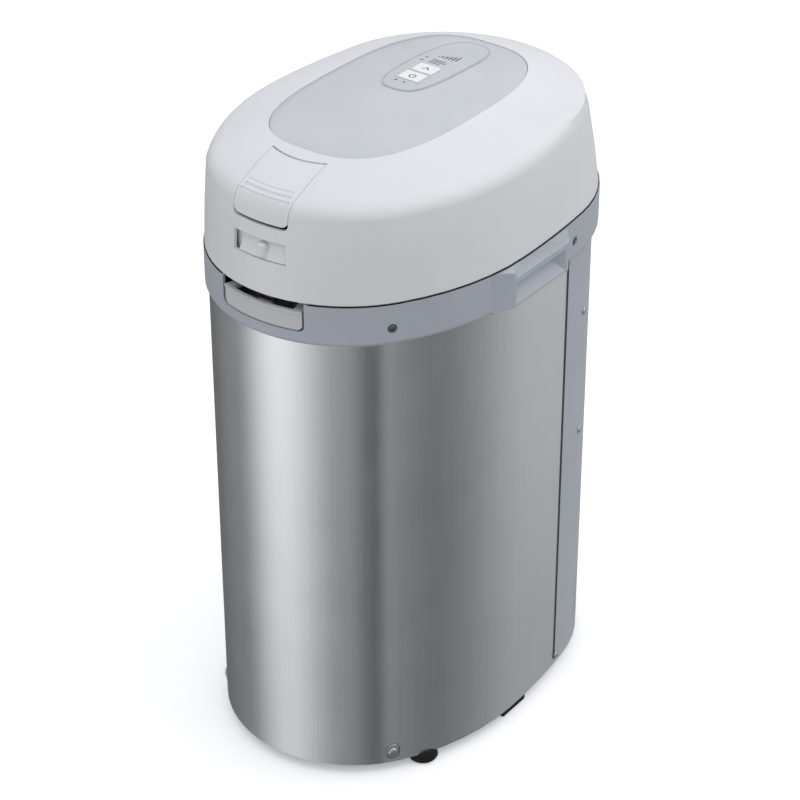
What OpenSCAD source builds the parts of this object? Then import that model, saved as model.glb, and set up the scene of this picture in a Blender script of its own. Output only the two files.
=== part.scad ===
// Electric food waste composter: an oval dryer with a steel front, a plastic back, a hinged lid and a
// round container with a stirring rotor. The front faces -Y, the origin is on the floor under its middle.

/* [Plan of the body] */
// Width of the steel body at its widest
body_w = 254; // [246:2:262]
// Depth of the steel body from front to back
body_d = 357; // [350:1:368]
// Radius of the round front end
front_radius = 111.3; // [110:0.1:112]
// Radius of the round rear end
rear_radius = 121.7; // [120:0.1:122.5]
// How far the widest point lies in front of the middle
widest_forward = 15.2; // [10:0.2:20]

/* [Heights] */
// Height of the feet
foot_h = 8.5; // [7:0.5:12]
// Height of the steel sheet above the feet
steel_h = 405.7; // [400:0.5:412]
// Height of the body ring
ring_h = 33.3; // [31:0.1:36]
// Gap between the body ring and the lid
lid_gap = 1.3; // [1.3:0.1:1.8]
// Height of the lid from its lower edge to the shoulder crease
lid_wall_h = 69.5; // [66:0.5:74]
// Height of the lid's shoulder from the crease to the top panel's edge
shoulder_h = 25.5; // [23:0.5:28]
// Rise of the top panel from its edge to its middle
dome_h = 6.2; // [4:0.2:8]

/* [Shells] */
// Thickness of the steel sheet
sheet = 0.8; // [0.6:0.1:1.2]
// Wall of the plastic covers
wall = 2.6; // [2.2:0.1:3]
// Gap between pieces that lie side by side
clearance = 0.4; // [0.3:0.05:0.5]
// How far the body ring stands out from the steel
ring_out = 2.8; // [2:0.1:3.4]
// How much further the ring stands out at the back
ring_flare = 2.6; // [1.5:0.1:3.5]
// How far the lid's lower edge stands out from the steel
lid_out = 1.9; // [1.4:0.1:2.6]
// How far the lid's crease draws in from the steel
crease_in = 2.3; // [1.5:0.1:3]
// How much further the crease draws in at the back
crease_back = 6; // [4:0.5:8]
// Where the seam between steel and rear cover lies behind the middle
seam_back = 56; // [50:1:62]

/* [Carrying handles] */
// Overall width over the two handles
overall_w = 268; // [266:1:276]
// Front end of the finger pocket, in front of the middle
pocket_front = 34; // [30:1:38]
// Rear end of the finger pocket, behind the middle
pocket_rear = 37; // [33:1:41]
// Length of the sloping wall that closes the handle in front
handle_ramp = 18; // [15:1:21]
// Thickness of the bar that the fingers hold
bar_t = 6.5; // [5:0.5:8]
// Height of the bar's top edge above the ring's lower edge
bar_top = 25.8; // [24:0.2:27]
// Depth of the finger pocket at its top
pocket_in = 13; // [11:0.5:14]

/* [Front notch and container grip] */
// Half width of the notch
notch_half = 39; // [35:1:42]
// Height of the ring that is left under the notch
notch_sill = 9.8; // [9:0.1:11]
// Radius of the notch's lower corners
notch_corner = 5; // [3:0.5:6]
// Height of the grip that shows in the notch
grip_h = 16.2; // [15:0.2:17]
// Thickness of the grip's front wall
grip_t = 2.7; // [2.2:0.1:3]
// Height of the thin rim along the grip's top
grip_rim = 2.4; // [2:0.1:3]
// Width of the handle's arms
arm_t = 3.4; // [3:0.1:3.8]
// Height of the handle's arms
arm_h = 5.6; // [5:0.1:6]

/* [Top panel] */
// Half width of the oval top panel
panel_a = 68.9; // [66:0.5:71]
// Half depth of the oval top panel
panel_b = 120; // [117:0.5:122]
// Squareness of the oval top panel
panel_n = 2.86; // [2.6:0.02:3]
// Thickness of the top panel
panel_t = 2.4; // [2:0.1:2.8]
// Half width of the operation sheet
window_a = 23.5; // [22:0.5:25]
// Half depth of the operation sheet
window_b = 58.5; // [56:0.5:60]
// Middle of the operation sheet behind the lid's middle
window_y = 49; // [46:0.5:51]
// Width of a button
button_w = 20; // [18:0.2:21]
// Depth of a button
button_d = 14.6; // [13.6:0.2:15.4]
// Middle of the front button behind the lid's middle
button_y = 17.5; // [16:0.5:20]
// Distance between the two buttons' middles
button_pitch = 18; // [17.6:0.2:20]
// How far the buttons stand proud of the sheet
button_up = 0.9; // [0.8:0.1:1.4]
// Travel of a button
button_travel = 0.6; // [0.4:0.1:0.6]

/* [Release tongue and lock] */
// Half width of the tongue
tongue_half = 25.5; // [23:0.5:27]
// Distance of the tongue's rear slit from the round front end
tongue_rear = 45.8; // [45:0.2:47]
// Height of the tongue's lower edge above the lid's lower edge
tongue_low = 58.4; // [57:0.2:60]
// Width of the slit under the tongue
tongue_slit = 2.6; // [2.5:0.1:3]
// Number of grip grooves on the tongue
groove_count = 3; // [2:1:4]
// Distance between the grip grooves
groove_pitch = 4.3; // [3.8:0.1:4.6]
// Radius of the tongue's pivot pin
tongue_pin_r = 1.5; // [1.2:0.1:1.8]
// Half width of the lock's recess
recess_half = 24.5; // [22:0.5:25]
// Lower edge of the recess above the lid's lower edge
recess_low = 27.8; // [27:0.2:29]
// Height of the recess
recess_h = 15.5; // [14.5:0.5:17]
// Width of the lock's nub
nub_w = 8.4; // [7:0.2:9]
// Where the nub rests, in degrees to the right of the middle
nub_rest = 1.6; // [1:0.1:2]
// Travel of the lock in degrees round the front end
lock_travel = 2.5; // [2:0.1:3]

/* [Hinge] */
// Radius of the hinge barrel
barrel_r = 11; // [10:0.5:12]
// Radius of the hinge pin
hinge_pin_r = 3; // [2.5:0.1:3.5]
// Running gap of pins and shafts in their bores
running = 0.06; // [0.04:0.01:0.09]
// Height of the hinge axis above the lid's lower edge
hinge_up = 12.2; // [12:0.2:13]
// Half length of the middle knuckle
knuckle_half = 20; // [17:1:23]
// Length of each outer knuckle
knuckle_len = 23; // [20:1:26]

/* [Container and chamber] */
// Inner radius of the container
pail_r = 90; // [86:0.5:91]
// Wall of the container
pail_wall = 2; // [1.5:0.1:2.2]
// Depth of the container inside
pail_depth = 283; // [275:1:286]
// Floor of the container
pail_floor = 3; // [2:0.5:4]
// Wall of the chamber round the container
chamber_wall = 1.5; // [1:0.1:1.8]
// Number of ribs round the container's wall
pail_ribs = 6; // [4:1:8]

/* [Stirring and gears] */
// Radius of the drive shaft
shaft_r = 8; // [7:0.5:9]
// Width across the flats of the drive shaft's square top
square_w = 10; // [9:0.5:11]
// Radius that the rotor's blades sweep
rotor_r = 85; // [80:0.5:86]
// Gear module
gear_module = 1.75; // [1.7:0.01:1.8]
// Teeth on the output gear
output_teeth = 62; // [60:1:64]
// Teeth on the idler's small gear
idler_small_teeth = 18; // [18:1:20]
// Teeth on the idler's large gear
idler_large_teeth = 51; // [48:1:52]
// Teeth on the motor's pinion
motor_teeth = 17; // [17:1:19]
// Width of a gear's face
gear_face = 14; // [12:1:15]
// Radius of the stirring motor
motor_r = 34; // [32:0.5:36]
// Height of the stirring motor
motor_h = 86; // [80:1:92]

/* [Air] */
// Radius of the hot-air fan
fan_r = 45; // [42:0.5:46]
// Blades on the hot-air fan
fan_blades = 14; // [10:1:18]
// Radius of the heater ring
heater_r = 53; // [51:0.5:54]
// Radius of the heater's tube
heater_tube = 3.2; // [2.8:0.1:3.4]
// Side of the exhaust fan's square frame
exhaust_w = 92; // [88:1:94]
// Thickness of the exhaust fan's frame
exhaust_t = 25; // [22:1:27]
// Blades on the exhaust fan
exhaust_blades = 7; // [5:1:9]
// Height of the exhaust fan's middle
exhaust_z = 150; // [145:1:156]
// Pitch of the air slots in the rear cover
slot_pitch = 7.2; // [6.8:0.1:8]
// Height of an air slot
slot_h = 3.4; // [3:0.1:3.8]
// Number of slots in each corner group
corner_slots = 6; // [4:1:7]

/* [Screws and feet] */
// Radius of a screw head
screw_r = 3.2; // [2.8:0.1:3.6]
// Angle of the front screws from the side, round the front end
screw_angle = 36.3; // [34:0.1:38]
// Radius of the round front feet
round_foot_r = 13; // [11:0.5:14]

/* [Hidden] */

// Fineness of true circles
$fn = 72;

// Heights of the stacked levels
base_z = foot_h;
ring_z = foot_h + steel_h;
ring_top = ring_z + ring_h;
lid_z = ring_top + lid_gap;
crease_z = lid_z + lid_wall_h;
panel_z = crease_z + shoulder_h;
top_z = panel_z + dome_h;

// The plan is drawn so that the ring, with its flare at the back, is centred on the origin
plan_y = -ring_flare / 2;
half_w = body_w / 2;
front_cy = plan_y - (body_d / 2 - front_radius);
rear_cy = plan_y + (body_d / 2 - rear_radius);
widest_y = plan_y - widest_forward;
front_run = widest_y - front_cy;
rear_run = rear_cy - widest_y;

// Radius of the side arc that is tangent to an end arc and to the widest line
function side_radius(r, run) = (r * r - half_w * half_w - run * run) / (2 * (r - half_w));

function arc(cx, cy, r, a0, a1, n) = [
    for (i = [0 : n - 1])
        let (a = a0 + (a1 - a0) * i / n)
        [cx + r * cos(a), cy + r * sin(a)]
];

// Right half of the plan from front to back, grown outwards by d and drawn out by flare at the back
end_steps = 13;
side_steps = 6;
front_side_r = side_radius(front_radius, front_run);
function half_oval(d, flare) =
    let (rear_r = rear_radius + flare / 2)
    let (run = rear_run + flare / 2)
    let (side_r = side_radius(rear_r, run))
    let (front_turn = atan2(front_run, front_side_r - half_w))
    let (rear_turn = atan2(run, side_r - half_w))
    concat(
        arc(0, front_cy, front_radius + d, -90, -front_turn, end_steps),
        arc(half_w - front_side_r, widest_y, front_side_r + d, -front_turn, 0, side_steps),
        arc(half_w - side_r, widest_y, side_r + d, 0, rear_turn, side_steps),
        arc(0, rear_cy + flare / 2, rear_r + d, rear_turn, 90, end_steps)
    );
half_count = 2 * end_steps + 2 * side_steps;
function oval(d, flare = 0) =
    let (half = half_oval(d, flare))
    concat(
        half,
        [[0, rear_cy + rear_radius + flare + d]],
        [for (i = [half_count - 1 : -1 : 1]) [-half[i][0], half[i][1]]]
    );

// A point on the plan's side behind its widest line, and the direction that the wall faces there
rear_side_r = side_radius(rear_radius, rear_run);
function side_angle(y) = asin((y - widest_y) / rear_side_r);
function side_x(y, d) = half_w - rear_side_r + (rear_side_r + d) * cos(side_angle(y));
function rear_wall_y(x, d) = rear_cy + sqrt((rear_radius + d) * (rear_radius + d) - x * x);

// Oval of the top panel, scaled by k, with its points at the bearings of the plan's points
panel_y = plan_y - 0.6;
function panel_ring(k, grow = 0) = [
    for (p = oval(0))
        let (a = atan2(p[1], p[0]))
        let (u = pow(pow(abs(cos(a)) / (panel_a + grow), panel_n)
            + pow(abs(sin(a)) / (panel_b + grow), panel_n), -1 / panel_n))
        [k * u * cos(a), panel_y + k * u * sin(a)]
];
function blend(a, b, t) = [for (i = [0 : len(a) - 1]) a[i] * (1 - t) + b[i] * t];
function at_height(ring, z) = [for (p = ring) [p[0], p[1], z]];

// Closed skin through rings with the same number of points, the first and the last capped
function skin_faces(rings, n) = concat(
    [[for (i = [0 : n - 1]) i]],
    [
        for (r = [0 : rings - 2])
            for (i = [0 : n - 1])
                let (j = (i + 1) % n)
                for (face = [[r * n + i, (r + 1) * n + i, (r + 1) * n + j], [r * n + i, (r + 1) * n + j, r * n + j]])
                    face
    ],
    [[for (i = [n - 1 : -1 : 0]) (rings - 1) * n + i]]
);
module skin(rings) {
    polyhedron(points = [for (r = rings) each r], faces = skin_faces(len(rings), len(rings[0])), convexity = 8);
}

// Upright prism on a plan outline
module slab(outline, z0, z1) {
    translate([0, 0, z0])
        linear_extrude(z1 - z0)
            polygon(outline);
}

// Round bar along Y or X
module rod_y(r, y0, y1) {
    translate([0, y0, 0])
        rotate([-90, 0, 0])
            cylinder(r = r, h = y1 - y0);
}
module rod_x(r, x0, x1) {
    translate([x0, 0, 0])
        rotate([0, 90, 0])
            cylinder(r = r, h = x1 - x0);
}

// Both sides of something that is drawn on the right
module both_sides() {
    children();
    mirror([1, 0, 0])
        children();
}

// Ring about the front end's centre between two radii
module front_ring(r0, r1, z0, z1) {
    translate([0, front_cy, z0])
        difference() {
            cylinder(r = r1, h = z1 - z0);
            translate([0, 0, -1])
                cylinder(r = r0, h = z1 - z0 + 2);
        }
}

// Part of such a ring between two angles
module front_arc(r0, r1, z0, z1, a0, a1) {
    translate([0, front_cy, z0])
        rotate([0, 0, a0])
            rotate_extrude(angle = a1 - a0)
                translate([r0, 0])
                    square([r1 - r0, z1 - z0]);
}

// Rings of the lid's surface from its lower edge to the top panel, moved in by inset and down by drop
wall_mid_z = (lid_z + crease_z) / 2;
shoulder_in = 14;
shoulder_z = crease_z + 0.4 * shoulder_h;
lid_flare = ring_flare - 0.4;
wall_bulge = 0.6;
panel_gap = 0.35;
recess_floor = panel_z - panel_t - clearance;
function lid_rings(inset, drop) = [
    at_height(oval(lid_out - inset, lid_flare), lid_z),
    at_height(oval((lid_out - crease_in) / 2 + wall_bulge - inset, (lid_flare - crease_back) / 2), wall_mid_z),
    at_height(oval(0.25 - crease_in - inset, -crease_back), crease_z - drop - 2.2),
    at_height(oval(-crease_in - 2.6 - inset, 0.6 - crease_back), crease_z - drop + 3.6),
    at_height(oval(-shoulder_in * 0.58 - inset * 0.6, -2), crease_z - drop + 7.2),
    at_height(oval(-shoulder_in - inset * 0.5, 0), shoulder_z - drop),
    at_height(blend(oval(-shoulder_in, 0), panel_ring(1, panel_gap), 0.45), shoulder_z - drop + 8),
    at_height(panel_ring(1, panel_gap), panel_z - drop)
];

// How far the lid's front wall stands out from the plan at height z
function lid_face(z) = z < wall_mid_z
    ? lid_out + ((lid_out - crease_in) / 2 + wall_bulge - lid_out) * (z - lid_z) / (wall_mid_z - lid_z)
    : (lid_out - crease_in) / 2 + wall_bulge
        - ((lid_out + crease_in) / 2 + wall_bulge) * (z - wall_mid_z) / (crease_z - wall_mid_z);

// Skin of the lid with a given thickness, without its cut-outs
module lid_skin(thick) {
    outer = lid_rings(0, 0);
    inner = lid_rings(thick, thick);
    skin(concat(
        [at_height(panel_ring(0.3), recess_floor - thick)],
        [for (i = [len(inner) - 1 : -1 : 0]) inner[i]],
        outer,
        [at_height(panel_ring(1, panel_gap - 0.05), recess_floor)],
        [at_height(panel_ring(0.3), recess_floor)]
    ));
}

// Hinge axis, just inside the ring's rear
ring_rear = plan_y + body_d / 2 + ring_out + ring_flare;
hinge_y = ring_rear - barrel_r - 0.2;
hinge_z = lid_z + hinge_up;
knuckle_gap = 0.4;
hinge_half = knuckle_half + knuckle_gap + knuckle_len;

// Radii round the container's axis, from the inside out
pail_out = pail_r + pail_wall;
pail_gap = 1.5;
chamber_in = pail_out + pail_gap;
chamber_out = chamber_in + chamber_wall;
ear_in = chamber_out + clearance;
ear_t = 2;
arm_in = ear_in + ear_t + 0.6;
arm_out = arm_in + arm_t;
ring_in_r = front_radius + ring_out - wall;
grip_out = front_radius + ring_out - 0.2;

// Heights round the container's mouth
deck_z = ring_z + 6;
deck_t = 3;
deck_top = deck_z + deck_t;
rim_t = 3;
rim_z = ring_top - 8.5;
chamber_top = rim_z - rim_t - 0.3;
inner_lid_z = ring_top - 1.5;
inner_lid_t = 2.5;
arm_z = rim_z - 1.2;
pivot_z = arm_z + arm_h / 2;
notch_z = ring_z + notch_sill;
grip_z = notch_z + 0.8;
pail_z = rim_z - pail_depth - pail_floor;
floor_z = pail_z + pail_floor;

// Plate under the lid
lid_base_z = lid_z + 2.4;
lid_base_t = 2.6;
lid_base_top = lid_base_z + lid_base_t;

// Tongue, its pivot, and the latch hook that hangs from it
slit_r = front_radius - tongue_rear;
slit_y = front_cy - slit_r;
pivot_y = slit_y + 6;
tongue_corner = 5;
tongue_pivot_z = panel_z - 9.8;
tongue_edge_z = lid_z + tongue_low;
rib_x = 12;
rib_t = 2;
hook_half = 7;
hook_y = front_cy - front_radius + 8;
hook_t = 3;
hook_foot_z = rim_z - 6.6;
nose_h = 4.2;
nose_out = 2.3;
catch_gap = 0.4;

// Lock slider, turning about the front end's centre behind the lid's wall
lock_r = front_radius - crease_in - wall;
lock_t = 2;
nub_out = 2;
recess_z = lid_z + recess_low;
recess_turn = asin(recess_half / front_radius);
lock_z0 = recess_z - 2.4;
lock_z1 = recess_z + recess_h + 2.6;

// Operation sheet and buttons on the domed panel
button_x = -3.4;
window_x = -3;
button_gap = 0.4;
board_z = recess_floor + 1.2;
board_t = 1.6;
button_low = board_z + board_t + 1.8;
function panel_norm(x, y) =
    pow(pow(abs(x) / panel_a, panel_n) + pow(abs(y - panel_y) / panel_b, panel_n), 1 / panel_n);
function dome_z(x, y) = panel_z + dome_h * (1 - pow(panel_norm(x, y), 2));

// Gear train, from the output on the container's axis to the motor behind it
idler_y = front_cy + gear_module * (output_teeth + idler_small_teeth) / 2;
motor_y = idler_y + gear_module * (idler_large_teeth + motor_teeth) / 2;
case_z = base_z + 21.5;
case_wall = 3;
low_gear_z = case_z + 10;
high_gear_z = low_gear_z + gear_face + 6;
case_top = high_gear_z + gear_face + 6;
cover_top = case_top + 4;
idler_shaft_r = 4;
motor_shaft_r = 4;
chamber_z = pail_z - 8;

// Rear compartment
bulkhead_y = front_cy + chamber_out + 3;
bulkhead_t = 1.5;
tray_h = 20;
back_y = bulkhead_y + bulkhead_t;
catalyst_z = exhaust_z + 90;
catalyst_h = exhaust_w - 2;
catalyst_d = exhaust_w - 8;
catalyst_w = catalyst_d;
duct_w = catalyst_w - 30;
duct_d = duct_w - 10;
duct_y = back_y + catalyst_d / 2;
fan_back = rear_wall_y(exhaust_w / 2, -wall) - clearance;
fan_front = fan_back - exhaust_t;
seam_y = plan_y + seam_back;

// Handles at the sides
handle_x = overall_w / 2;
bar_z = ring_z + bar_top;
pocket_top = bar_z - bar_t;

// Screw heights
low_screw_z = base_z + 10.7;
ring_screw_z = ring_z + 13.2;
ring_screw_back = seam_y + 3.1;
cover_screw_turn = 17;
cover_screw_z = [base_z + 0.551 * steel_h, base_z + 0.8344 * steel_h];

// Round piece whose axis points outwards from an end's centre, drawn along +Z
module radial(cy, turn, z) {
    translate([0, cy, z])
        rotate([0, 0, turn])
            rotate([0, 90, 0])
                children();
}

// The same on the wall behind the widest line, from the wall's face outwards
side_end = rear_cy + rear_radius * rear_run / (rear_side_r - rear_radius);
module radial_side(y, z) {
    side = y < side_end;
    translate([side ? half_w - rear_side_r : 0, side ? widest_y : rear_cy, z])
        rotate([0, 0, side ? side_angle(y) : asin((y - rear_cy) / rear_radius)])
            translate([side ? rear_side_r : rear_radius, 0, 0])
                rotate([0, 90, 0])
                    children();
}

// Screw with a pan head, its shank towards -Z and the head's seat at height h
module screw(h, head_r, shank) {
    translate([0, 0, h])
        rotate_extrude()
            polygon([
                [0, 1.9], [head_r * 0.5, 1.8], [head_r * 0.85, 1.3], [head_r, 0.6], [head_r, 0],
                [head_r * 0.5, 0], [head_r * 0.5, -shank], [0, -shank]
            ]);
}

// Base and shells

// Outline of the tray: close behind the thin steel in front and the thicker cover at the back
module tray_block(d, z0, z1) {
    difference() {
        slab(oval(-sheet - clearance - d), z0, z1);
        translate([-half_w, seam_y - 1 - d, z0 - 1])
            cube([body_w, body_d, z1 - z0 + 2]);
    }
    slab(oval(-wall - clearance - d), z0, z1);
}
module base_tray() {
    color("#5B6067")
        difference() {
            tray_block(0, base_z, base_z + tray_h);
            tray_block(wall, base_z + 3, base_z + tray_h + 1);
            both_sides()
                radial(front_cy, -screw_angle, low_screw_z)
                    cylinder(r = 1.9, h = front_radius + 5);
            both_sides()
                radial_side(seam_y + 3.5, low_screw_z - 2)
                    translate([0, 0, -10])
                        cylinder(r = 1.9, h = 12);
            for (i = [-3 : 3])
                translate([i * 14, front_cy, base_z - 1])
                    linear_extrude(5)
                        square([5, 60], center = true);
        }
    color("#5B6067")
        for (x = [-40, 40])
            for (y = [front_cy - 20, idler_y + 10])
                translate([x, y, base_z + 3])
                    cylinder(r = 6, h = case_z - base_z - 3);
}

module steel_wrap() {
    color("#B9BCBE")
        difference() {
            slab(oval(0), base_z, ring_z + 4);
            slab(oval(-sheet), base_z - 1, ring_z + 5);
            translate([-half_w - 1, seam_y, base_z - 1])
                cube([body_w + 2, body_d, steel_h + 10]);
            both_sides()
                radial(front_cy, -screw_angle, low_screw_z)
                    cylinder(r = 2, h = front_radius + 5);
        }
}

// One horizontal air slot round the rear end between two bearings
module corner_slot(z, a0, a1) {
    translate([0, rear_cy, z])
        rotate([0, 0, a0])
            rotate_extrude(angle = a1 - a0)
                translate([rear_radius - wall - 2, 0])
                    square([wall + 5, slot_h]);
}

module rear_cover() {
    lap = sheet + clearance;
    inlet_turn = 120;
    color("#989FA9")
        difference() {
            union() {
                difference() {
                    slab(oval(0), base_z, ring_z - 0.3);
                    slab(oval(-wall), base_z - 1, ring_z + 1);
                    translate([-half_w - 1, -body_d, base_z - 1])
                        cube([body_w + 2, body_d + seam_y + 0.3, steel_h + 10]);
                }
                intersection() {
                    difference() {
                        slab(oval(-lap), base_z + tray_h + 1, ring_z - 8);
                        slab(oval(-lap - 1.8), base_z + tray_h, ring_z - 7);
                    }
                    translate([-half_w, seam_y - 8, 0])
                        cube([body_w, 14, ring_z]);
                }
            }
            for (i = [0 : corner_slots - 1])
                both_sides()
                    corner_slot(base_z + 22 + i * slot_pitch, 20, 52);
            for (i = [0 : 10])
                translate([-38, rear_cy + 80, exhaust_z - 37.5 + i * slot_pitch])
                    cube([76, 60, slot_h]);
            radial(rear_cy, inlet_turn, base_z + 32)
                cylinder(r = 7.3, h = rear_radius + 5);
            both_sides()
                for (z = cover_screw_z)
                    radial(rear_cy, cover_screw_turn, z)
                        cylinder(r = 1.9, h = rear_radius + 5);
            both_sides()
                radial_side(seam_y + 3.5, low_screw_z - 2)
                    translate([0, 0, -10])
                        cylinder(r = 1.9, h = 20);
        }
}

// A side handle: a closed section along the pocket, and solid ends
module handle_prism() {
    inner = handle_x - pocket_in - wall;
    translate([0, pocket_rear + 1, 0])
        rotate([90, 0, 0])
            linear_extrude(pocket_front + pocket_rear + 2)
                polygon([
                    [half_w + 0.2, ring_z], [handle_x, ring_z], [handle_x, bar_z - 1.2], [handle_x - 1, bar_z],
                    [half_w + ring_out - 0.6, ring_top], [inner, ring_top], [inner, pocket_top - 2.4],
                    [half_w + 0.2, ring_z + 4.6]
                ]);
}
module handle_end(outline, top) {
    root = half_w - 2;
    intersection() {
        slab(outline, ring_z - 1, top + 9);
        translate([0, body_d / 2, 0])
            rotate([90, 0, 0])
                linear_extrude(body_d)
                    polygon([
                        [root, ring_z], [handle_x, ring_z], [handle_x, top - 1.2], [handle_x - 1, top],
                        [half_w + ring_out - 0.6, ring_top], [root, ring_top]
                    ]);
    }
}
module handle_block() {
    root = half_w - 2;
    y0 = -pocket_front - 3;
    y1 = y0 - handle_ramp;
    x1 = half_w - front_side_r + sqrt(pow(front_side_r + ring_out, 2) - pow(y1 - widest_y, 2));
    handle_end([[root, y1], [x1, y1], [handle_x, y0], [handle_x, y0 + 2.5], [root, y0 + 5]], bar_z + 5);
    handle_end([
        [root, pocket_rear - 1], [handle_x, pocket_rear - 1], [handle_x, pocket_rear + 0.5],
        [handle_x - 1.5, pocket_rear + 3.5], [half_w + ring_out - 0.5, pocket_rear + 5], [root, pocket_rear + 5]
    ], bar_z);
    handle_prism();
}

// Finger pocket under the handle's shelf, its rear wall slanting
module finger_pocket() {
    root = handle_x - pocket_in - 1;
    intersection() {
        translate([0, pocket_rear, 0])
            rotate([90, 0, 0])
                linear_extrude(pocket_front + pocket_rear)
                    polygon([
                        [handle_x + 1, ring_z + 1.6], [handle_x, ring_z + 1.6], [handle_x - pocket_in, pocket_top],
                        [handle_x - 0.8, pocket_top], [handle_x + 1, pocket_top + 1.8]
                    ]);
        slab([
            [root, -pocket_front], [handle_x + 2, -pocket_front], [handle_x + 2, pocket_rear], [root, pocket_rear - 22]
        ], ring_z, ring_top);
    }
}

module body_ring() {
    color("#989FA9")
        difference() {
            union() {
                slab(oval(ring_out, ring_flare), ring_z + 1.6, ring_top);
                slab(oval(ring_out - 0.8, ring_flare), ring_z, ring_z + 1.6);
                both_sides()
                    handle_block();
            }
            difference() {
                slab(oval(ring_out - wall, ring_flare), ring_z - 1, ring_top + 1);
                both_sides()
                    handle_prism();
                difference() {
                    translate([-half_w, seam_y + 1, ring_z - 2])
                        cube([body_w, body_d, 4.4]);
                    slab(oval(-1.5), ring_z - 3, ring_z + 5);
                }
            }
            both_sides()
                finger_pocket();
            notch();
            both_sides()
                radial(front_cy, -screw_angle, ring_screw_z) {
                    cylinder(r = 1.8, h = front_radius + 9);
                    translate([0, 0, front_radius + ring_out - 1.4])
                        cylinder(r = screw_r + 0.7, h = 9);
                }
            both_sides()
                radial_side(ring_screw_back, ring_screw_z + 1) {
                    translate([0, 0, -12])
                        cylinder(r = 1.8, h = 30);
                    translate([0, 0, ring_out - 1.2])
                        cylinder(r = screw_r + 0.7, h = 12);
                }
        }
}

// Opening in the ring's front, with round lower corners
module notch() {
    y0 = front_cy - front_radius - ring_out - 2;
    r = notch_corner;
    difference() {
        translate([-notch_half, y0, notch_z])
            cube([2 * notch_half, 30, ring_h]);
        both_sides()
            difference() {
                translate([notch_half - r, y0 - 1, notch_z - 1])
                    cube([r + 1, 32, r + 1]);
                translate([notch_half - r, 0, notch_z + r])
                    rod_y(r, y0 - 2, y0 + 33);
            }
    }
}

module top_deck() {
    color("#8B929C")
        difference() {
            slab(oval(ring_out - wall - 0.3, ring_flare), deck_z, deck_top);
            translate([0, front_cy, deck_z - 1])
                cylinder(r = chamber_out + clearance, h = deck_t + 2);
            both_sides()
                translate([handle_x - pocket_in - wall - 1, -pocket_front - 4, deck_z - 1])
                    cube([30, pocket_front + pocket_rear + 8, deck_t + 2]);
            translate([-duct_w / 2 + 2, duct_y - duct_d / 2 + 2, deck_z - 1])
                cube([duct_w - 4, duct_d - 4, deck_t + 2]);
        }
}

// Inner frame and the container's seat

module rear_bulkhead() {
    window_w = 2 * (case_r(idler_large_teeth) + case_wall + 6);
    color("#A7ABAE")
        difference() {
            translate([23 - half_w, bulkhead_y, base_z + 3.2])
                cube([2 * half_w - 46, bulkhead_t, deck_z - base_z - 3.4]);
            translate([-window_w / 2, bulkhead_y - 1, base_z])
                cube([window_w, bulkhead_t + 2, cover_top + motor_h + 20]);
        }
}

module chamber() {
    color("#C4C7C9")
        translate([0, front_cy, 0])
            difference() {
                union() {
                    translate([0, 0, chamber_z])
                        cylinder(r = chamber_out, h = chamber_top - chamber_z);
                    translate([0, 0, deck_top])
                        cylinder(r = chamber_out + 1.6, h = 1.5);
                }
                translate([0, 0, chamber_z + 2])
                    cylinder(r = chamber_in, h = chamber_top);
                translate([0, 0, chamber_z - 1])
                    cylinder(r = shaft_r + 1.5, h = 5);
            }
}

module container() {
    color("#6E7276") {
        translate([0, front_cy, 0])
            difference() {
                union() {
                    translate([0, 0, pail_z])
                        cylinder(r = pail_out, h = rim_z - pail_z);
                    translate([0, 0, rim_z - rim_t])
                        cylinder(r = chamber_out, h = rim_t);
                    for (i = [0 : pail_ribs - 1])
                        rotate([0, 0, (i + 0.5) * 360 / pail_ribs])
                            translate([pail_out - 1, -2, pail_z + 10])
                                cube([1.9, 4, pail_depth - 30]);
                }
                translate([0, 0, floor_z])
                    cylinder(r = pail_r, h = pail_depth + 1);
                translate([0, 0, pail_z - 1])
                    cylinder(r = shaft_r + 0.5, h = pail_floor + 2);
            }
        both_sides()
            translate([0, front_cy, 0]) {
                translate([pail_r, -6, rim_z - rim_t])
                    cube([ear_in + ear_t - pail_r, 12, rim_t]);
                translate([ear_in, -6, rim_z - rim_t])
                    cube([ear_t, 12, pivot_z + 4 - rim_z + rim_t]);
                translate([0, 0, pivot_z])
                    rod_x(2.5, ear_in, arm_out + 0.6);
            }
    }
}

module fixed_blades() {
    color("#8E9296")
        translate([0, front_cy, 0])
            for (i = [0 : 2])
                rotate([0, 0, 30 + 120 * i])
                    translate([0, 0, floor_z + 0.69 * pail_r + 20 * i]) {
                        intersection() {
                            translate([pail_r * 0.69, -2.5, 0])
                                rotate([14, 0, 0])
                                    cube([pail_r / 3, 5, 26]);
                            cylinder(r = pail_r - 0.2, h = 60, center = true);
                        }
                        intersection() {
                            translate([pail_r - 6, -11, -4])
                                cube([8, 22, 32]);
                            difference() {
                                cylinder(r = pail_r - 0.2, h = 80, center = true);
                                cylinder(r = pail_r - 2.6, h = 82, center = true);
                            }
                        }
                    }
}

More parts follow.
